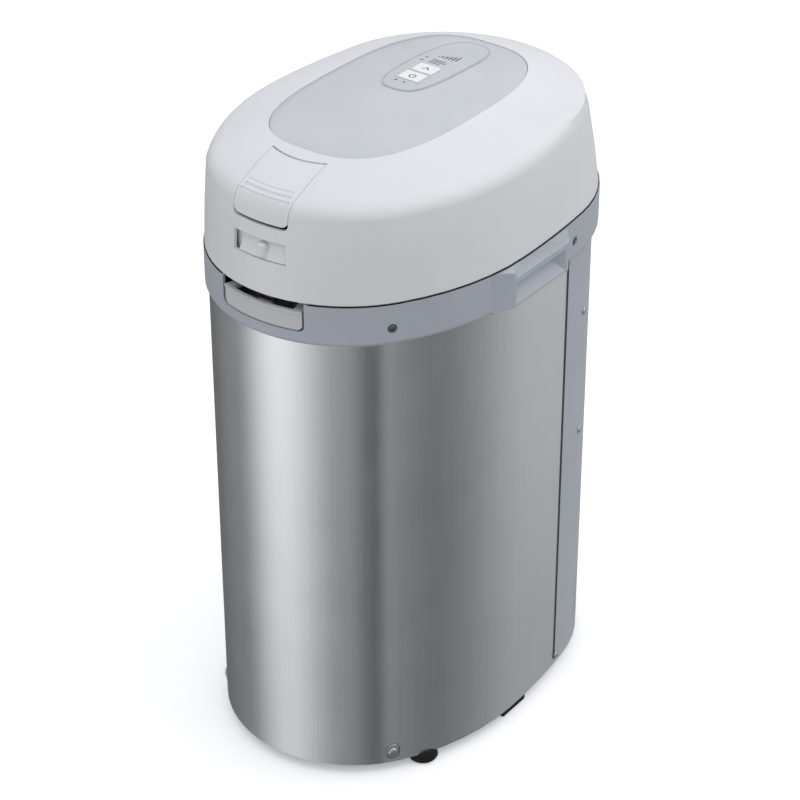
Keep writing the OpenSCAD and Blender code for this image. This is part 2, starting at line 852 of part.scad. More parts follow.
// Folding handle of the container: its grip fills the notch, its arms lie round the rim
module container_handle() {
    half_turn = asin((notch_half - 1.5) / grip_out);
    cheek = 4;
    color("#C9CCCF") {
        difference() {
            union() {
                front_arc(grip_out - grip_t, grip_out, grip_z, grip_z + grip_h, -90 - half_turn, -90 + half_turn);
                front_arc(grip_out - 3.4, grip_out, grip_z + grip_h - grip_rim, grip_z + grip_h,
                    -90 - half_turn, -90 + half_turn);
                both_sides()
                    front_arc(arm_in, grip_out - grip_t / 2, arm_z, grip_z + grip_h,
                        -90 + half_turn - cheek, -90 + half_turn);
            }
            front_arc(grip_out - 0.7, grip_out + 4, grip_z - 1, grip_z + grip_h - grip_rim,
                -90 - half_turn - 1, -90 + half_turn + 1);
            both_sides()
                difference() {
                    translate([notch_half - 1.5 - notch_corner, front_cy - grip_out - 5, grip_z - 1])
                        cube([notch_corner + 4, 40, notch_corner + 1]);
                    translate([notch_half - 1.5 - notch_corner, 0, grip_z + notch_corner])
                        rod_y(notch_corner, front_cy - grip_out - 6, front_cy);
                }
        }
        both_sides()
            difference() {
                union() {
                    front_arc(arm_in, arm_out, arm_z, arm_z + arm_h, -90 + half_turn - cheek, 0);
                    translate([0, front_cy, pivot_z])
                        rod_x(5, arm_in, arm_out);
                }
                translate([0, front_cy, pivot_z])
                    rod_x(2.5 + running, arm_in - 1, arm_out + 1);
            }
    }
}

// Stirring drive

function case_r(teeth) = gear_module * (teeth + 2) / 2 + 2;

// Outline that wraps the three gear axes, grown by d
module case_body(d, z0, z1) {
    out_r = case_r(output_teeth) + d;
    mid_r = case_r(idler_large_teeth) + d;
    end_r = case_r(motor_teeth) + d;
    translate([0, front_cy, z0])
        cylinder(r = out_r, h = z1 - z0);
    translate([0, idler_y, z0])
        cylinder(r = mid_r, h = z1 - z0);
    translate([0, motor_y, z0])
        cylinder(r = end_r, h = z1 - z0);
    translate([-mid_r, front_cy, z0])
        cube([2 * mid_r, idler_y - front_cy, z1 - z0]);
    translate([-end_r, idler_y, z0])
        cube([2 * end_r, motor_y - idler_y, z1 - z0]);
}

module gearbox_case() {
    color("#7C8288")
        difference() {
            union() {
                difference() {
                    case_body(case_wall, case_z, case_top);
                    case_body(0, case_z + case_wall, case_top + 1);
                }
                for (y = [front_cy, idler_y])
                    translate([0, y, case_z])
                        cylinder(r = 12, h = low_gear_z - case_z - 0.5);
            }
            translate([0, front_cy, case_z + 2])
                cylinder(r = shaft_r + running, h = 20);
            translate([0, idler_y, case_z + 2])
                cylinder(r = idler_shaft_r + running, h = 20);
        }
}

module gearbox_cover() {
    color("#7C8288")
        difference() {
            union() {
                case_body(case_wall, case_top, cover_top);
                translate([0, motor_y, case_top])
                    cylinder(r = motor_r, h = cover_top - case_top);
                translate([0, front_cy, cover_top])
                    cylinder(r = 16, h = 8);
            }
            translate([0, front_cy, case_top - 1])
                cylinder(r = shaft_r + running, h = 20);
            translate([0, idler_y, case_top - 1])
                cylinder(r = idler_shaft_r + running, h = 3.4);
            translate([0, motor_y, case_top - 1])
                cylinder(r = motor_shaft_r + 1, h = 20);
        }
}

// Involute gear about +Z with a tooth pointing along the bearing turn, eased by a little backlash
function involute(base, t) = [base * (cos(t) + t * PI / 180 * sin(t)), base * (sin(t) - t * PI / 180 * cos(t))];
function spin(p, a) = [p[0] * cos(a) - p[1] * sin(a), p[0] * sin(a) + p[1] * cos(a)];
module gear(teeth, turn, face, bore) {
    pitch_r = gear_module * teeth / 2;
    base_r = pitch_r * cos(20);
    tip_r = pitch_r + gear_module * 0.96;
    root_r = pitch_r - gear_module * 1.2;
    tip_t = sqrt(pow(tip_r / base_r, 2) - 1) * 180 / PI;
    lean = tan(20) * 180 / PI - 20;
    half = 90 / teeth + lean - 0.08 * 180 / (PI * pitch_r);
    steps = 4;
    flank = [for (i = [0 : steps]) spin(involute(base_r, tip_t * i / steps), -half)];
    tooth = concat(
        [[root_r * cos(half + 0.2), -root_r * sin(half + 0.2)]],
        flank,
        [for (i = [steps : -1 : 0]) [flank[i][0], -flank[i][1]]],
        [[root_r * cos(half + 0.2), root_r * sin(half + 0.2)]]
    );
    difference() {
        linear_extrude(face)
            polygon([for (k = [0 : teeth - 1]) for (p = tooth) spin(p, turn + 360 * k / teeth)]);
        translate([0, 0, -1])
            cylinder(r = bore, h = face + 2);
    }
}

module output_gear() {
    color("#D8D2BE")
        translate([0, front_cy, low_gear_z])
            difference() {
                gear(output_teeth, 90, gear_face, shaft_r);
                for (i = [0 : 5])
                    rotate([0, 0, 60 * i + 30])
                        translate([32, 0, -1])
                            cylinder(r = 9, h = gear_face + 2);
            }
}

module idler_gear() {
    color("#D8D2BE")
        translate([0, idler_y, 0]) {
            translate([0, 0, low_gear_z])
                gear(idler_small_teeth, -90 + 180 / idler_small_teeth, gear_face, idler_shaft_r);
            translate([0, 0, high_gear_z])
                gear(idler_large_teeth, 90, gear_face, idler_shaft_r);
            translate([0, 0, low_gear_z + gear_face])
                difference() {
                    cylinder(r = 10, h = high_gear_z - low_gear_z - gear_face);
                    translate([0, 0, -1])
                        cylinder(r = idler_shaft_r, h = 20);
                }
            translate([0, 0, case_z + 2.4])
                cylinder(r = idler_shaft_r, h = case_top + 2 - case_z - 2.4);
        }
}

module motor_pinion() {
    color("#C9A94F")
        translate([0, motor_y, 0]) {
            translate([0, 0, high_gear_z])
                gear(motor_teeth, -90 + 180 / motor_teeth, gear_face, motor_shaft_r);
            translate([0, 0, high_gear_z - 4])
                cylinder(r = motor_shaft_r, h = cover_top + 14 - high_gear_z);
        }
}

module stir_motor() {
    color("#9FA3A6")
        translate([0, motor_y, cover_top + 0.2])
            difference() {
                union() {
                    cylinder(r = motor_r - 2, h = motor_h);
                    cylinder(r = motor_r, h = 6);
                    translate([0, 0, motor_h - 8])
                        cylinder(r = motor_r, h = 6);
                    translate([0, 0, motor_h])
                        cylinder(r = 10, h = 5);
                }
                translate([0, 0, -1])
                    cylinder(r = motor_shaft_r + running, h = 16);
            }
}

square_low = floor_z + 2;
square_top = floor_z + 28;
module drive_shaft() {
    color("#B4B7BA")
        translate([0, front_cy, 0]) {
            translate([0, 0, case_z + 2.4])
                cylinder(r = shaft_r, h = square_low - case_z - 2.4);
            translate([-square_w / 2, -square_w / 2, square_low])
                cube([square_w, square_w, square_top - square_low]);
        }
}

// Rotor: two long low blades with upright paddles at their ends, and two short blades above
module stirring_rotor() {
    hub_r = 15;
    hub_z = floor_z + 1.5;
    hub_h = 36;
    play = 0.15;
    color("#85898D")
        translate([0, front_cy, 0])
            difference() {
                union() {
                    translate([0, 0, hub_z])
                        rotate_extrude()
                            polygon([[0, 0], [hub_r + 2, 0], [hub_r + 2, 6], [hub_r, 9], [hub_r - 2, hub_h - 5],
                                [hub_r - 6, hub_h], [0, hub_h]]);
                    for (side = [0, 180])
                        rotate([0, 0, side]) {
                            translate([hub_r - 6, -3, hub_z + 2])
                                rotate([28, 0, 0])
                                    cube([rotor_r - hub_r + 2, 5, 15]);
                            translate([rotor_r - 9, -6, hub_z + 3])
                                rotate([0, -6, 24])
                                    cube([5, 16, 42]);
                        }
                    for (side = [90, 270])
                        rotate([0, 0, side])
                            translate([hub_r - 7, -2, hub_z + 18])
                                rotate([35, 0, 0])
                                    cube([42, 4, 12]);
                }
                translate([-square_w / 2 - play, -square_w / 2 - play, hub_z - 1])
                    cube([square_w + 2 * play, square_w + 2 * play, square_top - hub_z + 1.6]);
                translate([0, 0, hub_z - 1])
                    cylinder(r = shaft_r + 0.5, h = square_low - hub_z + 1.5);
            }
}

// Exhaust

module exhaust_duct() {
    color("#B8BBBD")
        difference() {
            union() {
                translate([-duct_w / 2, duct_y - duct_d / 2, catalyst_z + catalyst_h + 0.2])
                    cube([duct_w, duct_d, deck_z - catalyst_z - catalyst_h - 0.4]);
                translate([-duct_w / 2 - 5, duct_y - duct_d / 2 - 5, deck_z - 2.2])
                    cube([duct_w + 10, duct_d + 10, 2]);
            }
            translate([-duct_w / 2 + 2, duct_y - duct_d / 2 + 2, catalyst_z])
                cube([duct_w - 4, duct_d - 4, deck_z]);
        }
}

module catalyst_box() {
    color("#A9ADB0")
        difference() {
            translate([-catalyst_w / 2, back_y, catalyst_z])
                cube([catalyst_w, catalyst_d, catalyst_h]);
            translate([-catalyst_w / 2 + 2, back_y + 2, catalyst_z + 2])
                cube([catalyst_w - 4, catalyst_d - 4, catalyst_h - 4]);
            translate([-duct_w / 2 + 2, duct_y - duct_d / 2 + 2, catalyst_z + catalyst_h - 3])
                cube([duct_w - 4, duct_d - 4, 4]);
            translate([-24, duct_y - 24, catalyst_z - 1])
                cube([48, 48, 4]);
        }
}

module catalyst_block() {
    cell = 11;
    color("#C9B79A")
        difference() {
            translate([-catalyst_w / 2 + 2.4, back_y + 2.4, catalyst_z + 2.4])
                cube([catalyst_w - 4.8, catalyst_d - 4.8, 40]);
            for (i = [-3 : 3])
                for (j = [-3 : 3])
                    translate([i * cell - 4, duct_y + j * cell - 4, catalyst_z])
                        cube([8, 8, 50]);
        }
}

module fan_frame() {
    color("#3C4046")
        difference() {
            union() {
                difference() {
                    translate([-exhaust_w / 2, fan_front, exhaust_z - exhaust_w / 2])
                        cube([exhaust_w, exhaust_t, exhaust_w]);
                    translate([0, 0, exhaust_z])
                        rod_y(exhaust_w / 2 - 2.5, fan_front - 1, fan_back + 1);
                }
                translate([0, 0, exhaust_z])
                    rod_y(16, fan_front, fan_front + 9);
                for (i = [0 : 3])
                    translate([0, fan_front, exhaust_z])
                        rotate([0, 45 + 90 * i, 0])
                            translate([-2, 0, 0])
                                cube([4, 4, exhaust_w / 2]);
            }
            translate([0, 0, exhaust_z])
                rod_y(2 + running, fan_front + 2, fan_front + 20);
        }
}

module exhaust_fan() {
    hub_y = fan_front + 9.6;
    blade_r = exhaust_w / 2 - 4;
    color("#2F3237") {
        translate([0, 0, exhaust_z])
            rod_y(2, fan_front + 2.4, hub_y + 2);
        translate([0, 0, exhaust_z])
            rod_y(17, hub_y, hub_y + 13);
        for (i = [0 : exhaust_blades - 1])
            intersection() {
                translate([0, hub_y + 6.5, exhaust_z])
                    rotate([0, 360 / exhaust_blades * i, 0])
                        translate([0, 0, 15])
                            rotate([0, 0, 36])
                                translate([-1, -9, 0])
                                    cube([2, 18, blade_r]);
                translate([0, 0, exhaust_z])
                    rod_y(blade_r, hub_y + 0.5, hub_y + 12.5);
            }
    }
}

module power_board() {
    x0 = 27 - half_w;
    w = half_w - catalyst_w / 2 - 39;
    h = catalyst_h + 80;
    y0 = back_y;
    z0 = catalyst_z - 20;
    color("#3F7A4E")
        translate([x0, y0 + 6, z0])
            cube([w, 1.6, h]);
    color("#8A8F94")
        for (x = [x0 + 4, x0 + w - 4])
            for (z = [z0 + 6, z0 + h - 6])
                translate([x, 0, z])
                    rod_y(2.5, y0 + 0.1, y0 + 6);
    color("#30343A") {
        for (z = [z0 + 30, z0 + 56])
            translate([x0 + 24, 0, z])
                rod_y(9, y0 + 7.5, y0 + 34);
        translate([x0 + 4, y0 + 7.5, z0 + 90])
            cube([30, 22, 26]);
    }
}

module cord_inlet() {
    color("#24272B")
        radial(rear_cy, 120, base_z + 32)
            difference() {
                union() {
                    translate([0, 0, rear_radius - wall - 6])
                        cylinder(r = 7, h = wall + 6);
                    translate([0, 0, rear_radius])
                        cylinder(r1 = 10, r2 = 8.4, h = 3);
                    translate([0, 0, rear_radius - wall - 6])
                        cylinder(r = 9, h = 3);
                }
                translate([0, 0, rear_radius - wall - 7])
                    cylinder(r = 4, h = wall + 12);
            }
}

// Feet and screws

module round_foot(r) {
    rotate_extrude()
        polygon([[0, 0], [r - 3, 0], [r - 1.2, 0.8], [r - 0.2, 2.6], [r - 1.5, foot_h], [0, foot_h]]);
}
module front_feet() {
    color("#1D1F22")
        both_sides()
            translate([half_w - 28.5, front_cy - 36, 0])
                round_foot(round_foot_r);
}
module side_feet() {
    color("#1D1F22")
        both_sides()
            translate([half_w - 14, widest_y - 6, 0])
                cube([11, 32, foot_h]);
}
module rear_feet() {
    color("#1D1F22")
        both_sides()
            translate([half_w - 48, rear_cy + 70, 0])
                round_foot(round_foot_r - 2);
}

module ring_screws() {
    color("#3A3D41")
        both_sides() {
            radial(front_cy, -screw_angle, ring_screw_z)
                screw(front_radius + ring_out - 1.4, screw_r, 8);
            radial_side(ring_screw_back, ring_screw_z + 1)
                screw(ring_out - 1.2, screw_r, 8);
        }
}
module wrap_screws() {
    color("#D5D7D9")
        both_sides() {
            radial(front_cy, -screw_angle, low_screw_z)
                screw(front_radius + 0.05, screw_r + 0.6, 8);
            radial_side(seam_y + 3.5, low_screw_z - 2)
                screw(0.4, screw_r + 0.4, 8);
        }
}
module cover_screws() {
    color("#C9CCD0")
        both_sides()
            for (z = cover_screw_z)
                radial(rear_cy, cover_screw_turn, z)
                    screw(rear_radius + 0.05, screw_r, 8);
}

// Hinge and catch on the body

module hinge_bracket() {
    color("#8B929C")
        difference() {
            union() {
                translate([0, hinge_y, hinge_z])
                    rod_x(barrel_r, -knuckle_half, knuckle_half);
                translate([-knuckle_half, hinge_y - 9, deck_top])
                    cube([2 * knuckle_half, 15, hinge_z - deck_top]);
                translate([-knuckle_half - 10, hinge_y - 24, deck_top])
                    cube([2 * knuckle_half + 20, 26, 3]);
            }
            translate([0, hinge_y, hinge_z])
                rod_x(hinge_pin_r, -knuckle_half - 1, knuckle_half + 1);
        }
}
module hinge_pin() {
    color("#B4B7BA")
        translate([0, hinge_y, hinge_z])
            rod_x(hinge_pin_r, 1 - hinge_half, hinge_half - 1);
}
module latch_catch() {
    bar_y = hook_y - nose_out - catch_gap;
    color("#8B929C") {
        translate([-14, bar_y - 3, hook_foot_z + nose_h + 0.8])
            cube([28, 3, 2.2]);
        both_sides()
            translate([10.5, bar_y - 3, deck_top])
                cube([3.5, 3, hook_foot_z + nose_h + 1 - deck_top]);
    }
}

// Lid

module lid_shell() {
    pin_gap = 0.6;
    boss_x = rib_x + rib_t + pin_gap;
    color("#E4E8EB")
        difference() {
            union() {
                difference() {
                    lid_skin(wall);
                    tongue_block(0.3, tongue_slit, 1.4);
                    recess_cut();
                    translate([0, hinge_y, hinge_z])
                        rod_x(barrel_r + 1, -hinge_half - 1, hinge_half + 1);
                    translate([-hinge_half - 1, hinge_y - barrel_r - 1, lid_z - 1])
                        cube([2 * hinge_half + 2, 40, hinge_up + 1]);
                }
                both_sides()
                    translate([boss_x, pivot_y, tongue_pivot_z])
                        rotate([90, 0, 90])
                            linear_extrude(3)
                                polygon([
                                    [-3.5, -3.5], [3.5, -3.5], [3.5, recess_floor - wall - tongue_pivot_z + 1],
                                    [0.6, recess_floor - wall - tongue_pivot_z + 1], [-3.5, 1.2]
                                ]);
                for (z = [lock_z0 - 2.4, lock_z1 + 0.4])
                    front_arc(lock_r - lock_t, front_radius + lid_face(z) - 0.8, z, z + 2,
                        -90 - recess_turn - 6, -90 + recess_turn + 10);
            }
            translate([0, pivot_y, tongue_pivot_z])
                rod_x(tongue_pin_r, -30, 30);
        }
}

// Space of the tongue with round lower corners and rear slit, opened by the given gaps
module tongue_block(side_gap, low_gap, rear_gap) {
    half = tongue_half + side_gap;
    low = tongue_edge_z - low_gap;
    r = tongue_corner;
    difference() {
        translate([0, front_cy, 0])
            rotate([90, 0, 0])
                linear_extrude(front_radius + 20)
                    polygon(concat(
                        arc(r - half, low + r, r, 180, 270, 5), arc(half - r, low + r, r, 270, 360, 5),
                        [[half, low + r], [half, top_z], [-half, top_z]]
                    ));
        translate([0, front_cy, lid_z])
            cylinder(r = slit_r - rear_gap, h = 200, $fn = 96);
    }
}

// Shallow window in front of the lock, with a scooped upper edge
module recess_cut() {
    translate([0, front_cy, 0])
        rotate([0, 0, -90 - recess_turn])
            rotate_extrude(angle = 2 * recess_turn)
                polygon([
                    [lock_r - 1, recess_z], [front_radius + 8, recess_z],
                    [front_radius + 8, recess_z + recess_h + 5], [lock_r - 1, recess_z + recess_h - 1]
                ]);
}

module lid_panel() {
    ks = [1, 0.985, 0.9, 0.75, 0.55, 0.3, 0.1];
    under = [0.1, 0.3, 0.55, 0.75, 0.9];
    color("#C6CDD6")
        difference() {
            skin(concat(
                [for (k = under) at_height(panel_ring(k), panel_z - panel_t + dome_h * (1 - k * k))],
                [at_height(panel_ring(0.94), panel_z - panel_t)],
                [at_height(panel_ring(1), panel_z - panel_t)],
                [for (k = ks) at_height(panel_ring(k), panel_z - (k == 1 ? 0.5 : 0) + dome_h * (1 - k * k))]
            ));
            button_holes();
        }
}

module button_holes() {
    w = button_w + 2 * button_gap;
    d = button_d + 2 * button_gap;
    for (i = [0, 1])
        translate([button_x - w / 2, button_y + i * button_pitch - d / 2, 500])
            cube([w, d, 60]);
}

// Thin sheet that follows the panel's dome
module panel_window() {
    n = 48;
    function edge(k) = [
        for (i = [0 : n - 1])
            let (a = 360 * i / n)
            let (u = k * pow(pow(abs(cos(a)), 3) + pow(abs(sin(a)), 3), -1 / 3))
            [window_x + u * window_a * cos(a), window_y + u * window_b * sin(a)]
    ];
    function on_dome(ring, up) = [for (p = ring) [p[0], p[1], dome_z(p[0], p[1]) + up]];
    color("#BCC3CC")
        difference() {
            skin([
                on_dome(edge(0.1), 0.1), on_dome(edge(0.55), 0.1), on_dome(edge(1), 0.1),
                on_dome(edge(1), 0.35), on_dome(edge(0.97), 0.45), on_dome(edge(0.55), 0.45), on_dome(edge(0.1), 0.45)
            ]);
            button_holes();
        }
}

module push_button(i) {
    y = button_y + i * button_pitch;
    top = dome_z(button_x, y) + button_up;
    color("#F7F8FA") {
        translate([button_x - button_w / 2, y - button_d / 2, button_low])
            cube([button_w, button_d, top - button_low]);
        translate([button_x - button_w / 2 - 1.6, y - button_d / 2 + 2, button_low])
            cube([button_w + 3.2, button_d - 4, 0.7]);
    }
}
module start_button() { push_button(0); }
module mode_button() { push_button(1); }

module control_board() {
    x1 = window_a - 1.5;
    y0 = window_y - window_b + 6.5;
    color("#3F7A4E")
        translate([-x1 - 5, y0 - 5, board_z])
            cube([2 * x1 + 10, 2 * window_b - 25, board_t]);
    color("#30343A") {
        for (i = [0, 1])
            translate([button_x - 3, button_y + i * button_pitch - 3, board_z + board_t])
                cube([6, 6, 1.1]);
        for (i = [0 : 4])
            translate([-10 + 5 * i, window_y + 13, board_z + board_t])
                cube([3, 2, 1.2]);
        for (x = [-x1, x1])
            for (y = [y0, y0 + 2 * window_b - 35])
                translate([x, y, recess_floor + 0.05])
                    cylinder(r = 2.5, h = board_z - recess_floor - 0.05);
    }
}

module lid_base() {
    fan_hole = heater_r + 9;
    color("#D9DCDF")
        difference() {
            union() {
                difference() {
                    slab(oval(lid_out - wall - 0.8, lid_flare - 1), lid_base_z, lid_base_top);
                    translate([-hinge_half - 1, hinge_y - barrel_r - 2, lid_base_z - 1])
                        cube([2 * hinge_half + 2, 60, 10]);
                }
                both_sides()
                    translate([knuckle_half + knuckle_gap, 0, 0]) {
                        translate([0, hinge_y, hinge_z])
                            rod_x(barrel_r, 0, knuckle_len);
                        translate([2, hinge_y - 34, lid_base_z])
                            cube([knuckle_len - 4, 34, hinge_up - 1]);
                    }
            }
            translate([0, front_cy, lid_base_z - 1])
                cylinder(r = fan_hole, h = lid_base_t + 2);
            translate([-hook_half - 2, hook_y - 16, lid_base_z - 1])
                cube([2 * hook_half + 4, 26, lid_base_t + 2]);
            translate([-duct_w / 2, duct_y - duct_d / 2, lid_base_z - 1])
                cube([duct_w, duct_d, lid_base_t + 2]);
            translate([0, hinge_y, hinge_z])
                rod_x(hinge_pin_r + running, -60, 60);
        }
}

module inner_lid() {
    color("#9DA3A8")
        difference() {
            union() {
                translate([0, front_cy, inner_lid_z])
                    cylinder(r = chamber_out + 1, h = inner_lid_t);
                front_ring(84, 88, inner_lid_z + inner_lid_t - 0.1, lid_base_z - 0.05);
            }
            for (i = [0 : 17])
                translate([0, front_cy, 0])
                    rotate([0, 0, 20 * i])
                        translate([heater_r + 8, 0, inner_lid_z - 1])
                            cylinder(r = 4, h = 8);
            for (i = [0 : 5])
                translate([0, front_cy, 0])
                    rotate([0, 0, 60 * i])
                        translate([18, 0, inner_lid_z - 1])
                            cylinder(r = 5, h = 8);
            translate([-hook_half - 2, front_cy - chamber_out - 10, inner_lid_z - 1])
                cube([2 * hook_half + 4, 11.2, 8]);
        }
}

module lid_seal() {
    r0 = pail_r + 1;
    color("#8C4A3F")
        translate([0, front_cy, 0])
            rotate_extrude()
                polygon([
                    [r0, inner_lid_z - 0.1], [r0, inner_lid_z - 3], [r0 + 1.4, rim_z + 0.4], [r0 + 2.4, rim_z + 0.4],
                    [r0 + 3.4, inner_lid_z - 3], [r0 + 3.4, inner_lid_z - 0.1]
                ]);
}

// Hot air in the lid

fan_z = lid_base_top + 8;
fan_face = 14;
bracket_z = fan_z + fan_face + 6;
module fan_bracket() {
    leg_r = heater_r + 12.5;
    color("#A9ADB0")
        translate([0, front_cy, 0])
            difference() {
                union() {
                    translate([0, 0, bracket_z])
                        cylinder(r = 28, h = 2);
                    for (i = [0 : 3])
                        rotate([0, 0, 45 + 90 * i]) {
                            translate([0, -6, bracket_z])
                                cube([leg_r, 12, 2]);
                            translate([leg_r, 0, lid_base_top])
                                cylinder(r = 4, h = bracket_z + 2 - lid_base_top);
                            translate([heater_r + heater_tube + 0.2, -2, fan_z - 4])
                                cube([leg_r - heater_r - heater_tube, 4, 12]);
                        }
                }
                translate([0, 0, bracket_z - 1])
                    cylinder(r = 6, h = 4);
            }
}
module fan_motor() {
    color("#9FA3A6")
        translate([0, front_cy, bracket_z + 2.05])
            difference() {
                union() {
                    cylinder(r = 21, h = 26);
                    cylinder(r = 23, h = 3);
                }
                translate([0, 0, -1])
                    cylinder(r = 3 + running, h = 18);
            }
}
module circulation_fan() {
    color("#B4B7BA")
        translate([0, front_cy, 0]) {
            translate([0, 0, fan_z])
                cylinder(r = 10, h = fan_face);
            translate([0, 0, fan_z + fan_face - 2])
                cylinder(r = fan_r, h = 2);
            translate([0, 0, fan_z + 2])
                cylinder(r = 3, h = bracket_z + 16 - fan_z);
            for (i = [0 : fan_blades - 1])
                rotate([0, 0, 360 / fan_blades * i])
                    translate([fan_r * 0.55, 0, fan_z])
                        rotate([0, 0, 38])
                            translate([0, -0.8, 0])
                                cube([fan_r * 0.5, 1.6, fan_face - 1]);
        }
}
module air_heater() {
    color("#6A4B3C")
        translate([0, front_cy, 0]) {
            for (k = [0, 1])
                translate([0, 0, fan_z + k * (2 * heater_tube + 0.8)])
                    rotate_extrude()
                        translate([heater_r, 0])
                            circle(r = heater_tube);
            translate([0, heater_r, fan_z])
                cylinder(r = heater_tube * 0.8, h = 2 * heater_tube + 12);
        }
}

// Release tongue, its spring, the hook and the lock

module release_tongue() {
    groove_turn = asin((tongue_half - 1) / front_radius);
    rib = [
        [pivot_y + 3.4, tongue_pivot_z + 1], [slit_y + 2.2, panel_z - 7.4], [slit_y + 0.4, panel_z - 5.4],
        [slit_y - 11.5, panel_z - 8.8], [slit_y - 31.8, panel_z - 17], [hook_y - 1, panel_z - 20.4],
        [hook_y - 1, tongue_edge_z + 7], [hook_y + 12, tongue_edge_z + 11],
        [pivot_y - 2, tongue_pivot_z - 3.6], [pivot_y + 3, tongue_pivot_z - 2]
    ];
    color("#DCE1E5")
        difference() {
            union() {
                intersection() {
                    lid_skin(wall);
                    tongue_block(0, 0, 0);
                }
                both_sides()
                    difference() {
                        translate([rib_x, 0, 0])
                            rotate([90, 0, 90])
                                linear_extrude(rib_t)
                                    polygon(rib);
                        translate([0, pivot_y, tongue_pivot_z])
                            rod_x(tongue_pin_r + running, -30, 30);
                    }
            }
            for (i = [0 : groove_count - 1])
                translate([0, front_cy, crease_z + 6.95 + i * groove_pitch * 0.55])
                    rotate([0, 0, -90 - groove_turn])
                        rotate_extrude(angle = 2 * groove_turn)
                            translate([front_radius - 7.5 - i * groove_pitch, 0])
                                circle(r = 1.2, $fn = 10);
        }
}
module tongue_pin() {
    color("#B4B7BA")
        translate([0, pivot_y, tongue_pivot_z])
            rod_x(tongue_pin_r - 0.01, -rib_x - rib_t - 3.6, rib_x + rib_t + 3.6);
}

// Torsion spring wound round the pin
module tongue_spring() {
    coil_r = tongue_pin_r + 1.1;
    wire_r = 0.45;
    turns = 6;
    per_turn = 14;
    sides = 6;
    pitch = 2 * wire_r + 0.5;
    x0 = -turns * pitch / 2;
    color("#C9CCCF")
        translate([0, pivot_y, tongue_pivot_z])
            skin([
                for (i = [0 : turns * per_turn])
                    let (a = 360 * i / per_turn)
                    [
                        for (k = [0 : sides - 1])
                            let (b = -360 * k / sides)
                            let (r = coil_r + wire_r * cos(b))
                            [x0 + pitch * i / per_turn + wire_r * sin(b), r * cos(a), r * sin(a)]
                    ]
            ]);
}
module latch_hook() {
    top = tongue_edge_z + 10.5;
    color("#C9CCCF") {
        translate([-hook_half, hook_y, hook_foot_z])
            cube([2 * hook_half, hook_t, top - hook_foot_z]);
        translate([-hook_half, hook_y - nose_out, hook_foot_z])
            cube([2 * hook_half, nose_out + 1, nose_h]);
        translate([0.3 - rib_x, hook_y, top - 4])
            cube([2 * rib_x - 0.6, 10, 4]);
    }
}
module lock_slider() {
    nub_r = nub_w / 2;
    lip = front_radius + lid_face(recess_z) - 0.7;
    low = recess_z + 0.5;
    high = recess_z + recess_h - 1.5;
    nub_h = recess_h - 3.2;
    color("#DCE1E5") {
        front_arc(lock_r - lock_t, lock_r, lock_z0, lock_z1,
            -90 - recess_turn - 1.5, -90 + recess_turn + lock_travel + 1.5);
        translate([0, front_cy, 0])
            rotate([0, 0, -90 - recess_turn + lock_travel + 0.3])
                rotate_extrude(angle = 2 * recess_turn - lock_travel - 0.6)
                    polygon([
                        [lock_r - 0.5, low], [lip - 0.6, low], [lip, low + 0.6], [lip - 1.6, low + 4],
                        [lock_r + 1.2, low + 10], [lock_r, high], [lock_r - 0.5, high]
                    ]);
        translate([0, front_cy, low + 0.7])
            rotate([0, 0, nub_rest])
                translate([0, nub_r - front_radius - nub_out, 0])
                    rotate_extrude()
                        polygon([
                            [0, 0], [nub_r - 1.6, 0], [nub_r, 1.6], [nub_r, nub_h - 1.6],
                            [nub_r - 1.6, nub_h], [0, nub_h]
                        ]);
    }
}

base_tray();
steel_wrap();
rear_cover();
body_ring();
top_deck();
rear_bulkhead();
chamber();
container();
fixed_blades();
container_handle();
gearbox_case();
gearbox_cover();
stir_motor();
exhaust_duct();
catalyst_box();
catalyst_block();
fan_frame();
power_board();
cord_inlet();
front_feet();
side_feet();
rear_feet();
ring_screws();
wrap_screws();
cover_screws();
hinge_bracket();
hinge_pin();
latch_catch();
lid_shell();
lid_panel();
panel_window();
control_board();
lid_base();
inner_lid();
lid_seal();
fan_bracket();
fan_motor();
air_heater();
tongue_pin();
tongue_spring();
release_tongue();
latch_hook();
lock_slider();
start_button();
mode_button();
circulation_fan();
exhaust_fan();
drive_shaft();
output_gear();
stirring_rotor();
idler_gear();
motor_pinion();
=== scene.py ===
"""Electric food waste composter: camera, light, finishes and small fittings round the part, in metres."""
import math

import bpy
import numpy as np
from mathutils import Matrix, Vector


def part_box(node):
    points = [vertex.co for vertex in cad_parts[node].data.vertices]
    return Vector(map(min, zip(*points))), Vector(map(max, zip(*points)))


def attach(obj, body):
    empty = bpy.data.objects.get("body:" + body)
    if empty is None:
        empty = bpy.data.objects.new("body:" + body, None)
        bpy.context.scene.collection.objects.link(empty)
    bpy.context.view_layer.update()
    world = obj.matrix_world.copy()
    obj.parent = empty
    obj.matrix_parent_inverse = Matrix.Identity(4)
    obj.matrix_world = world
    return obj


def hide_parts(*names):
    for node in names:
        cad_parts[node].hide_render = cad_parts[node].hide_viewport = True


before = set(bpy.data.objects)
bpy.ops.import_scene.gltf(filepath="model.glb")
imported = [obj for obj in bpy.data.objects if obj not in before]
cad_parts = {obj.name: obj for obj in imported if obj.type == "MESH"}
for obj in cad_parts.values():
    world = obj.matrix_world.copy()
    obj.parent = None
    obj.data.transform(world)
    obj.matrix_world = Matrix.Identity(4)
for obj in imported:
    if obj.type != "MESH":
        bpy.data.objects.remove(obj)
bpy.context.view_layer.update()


# Camera: a long lens well above the lid, turned to the front right corner,
# placed where the outlines of the lid, ring and feet meet the photograph's.
def placed(name, data):
    """A new object in the scene that shows that mesh, light or camera."""
    thing = bpy.data.objects.new(name, data)
    bpy.context.scene.collection.objects.link(thing)
    return thing


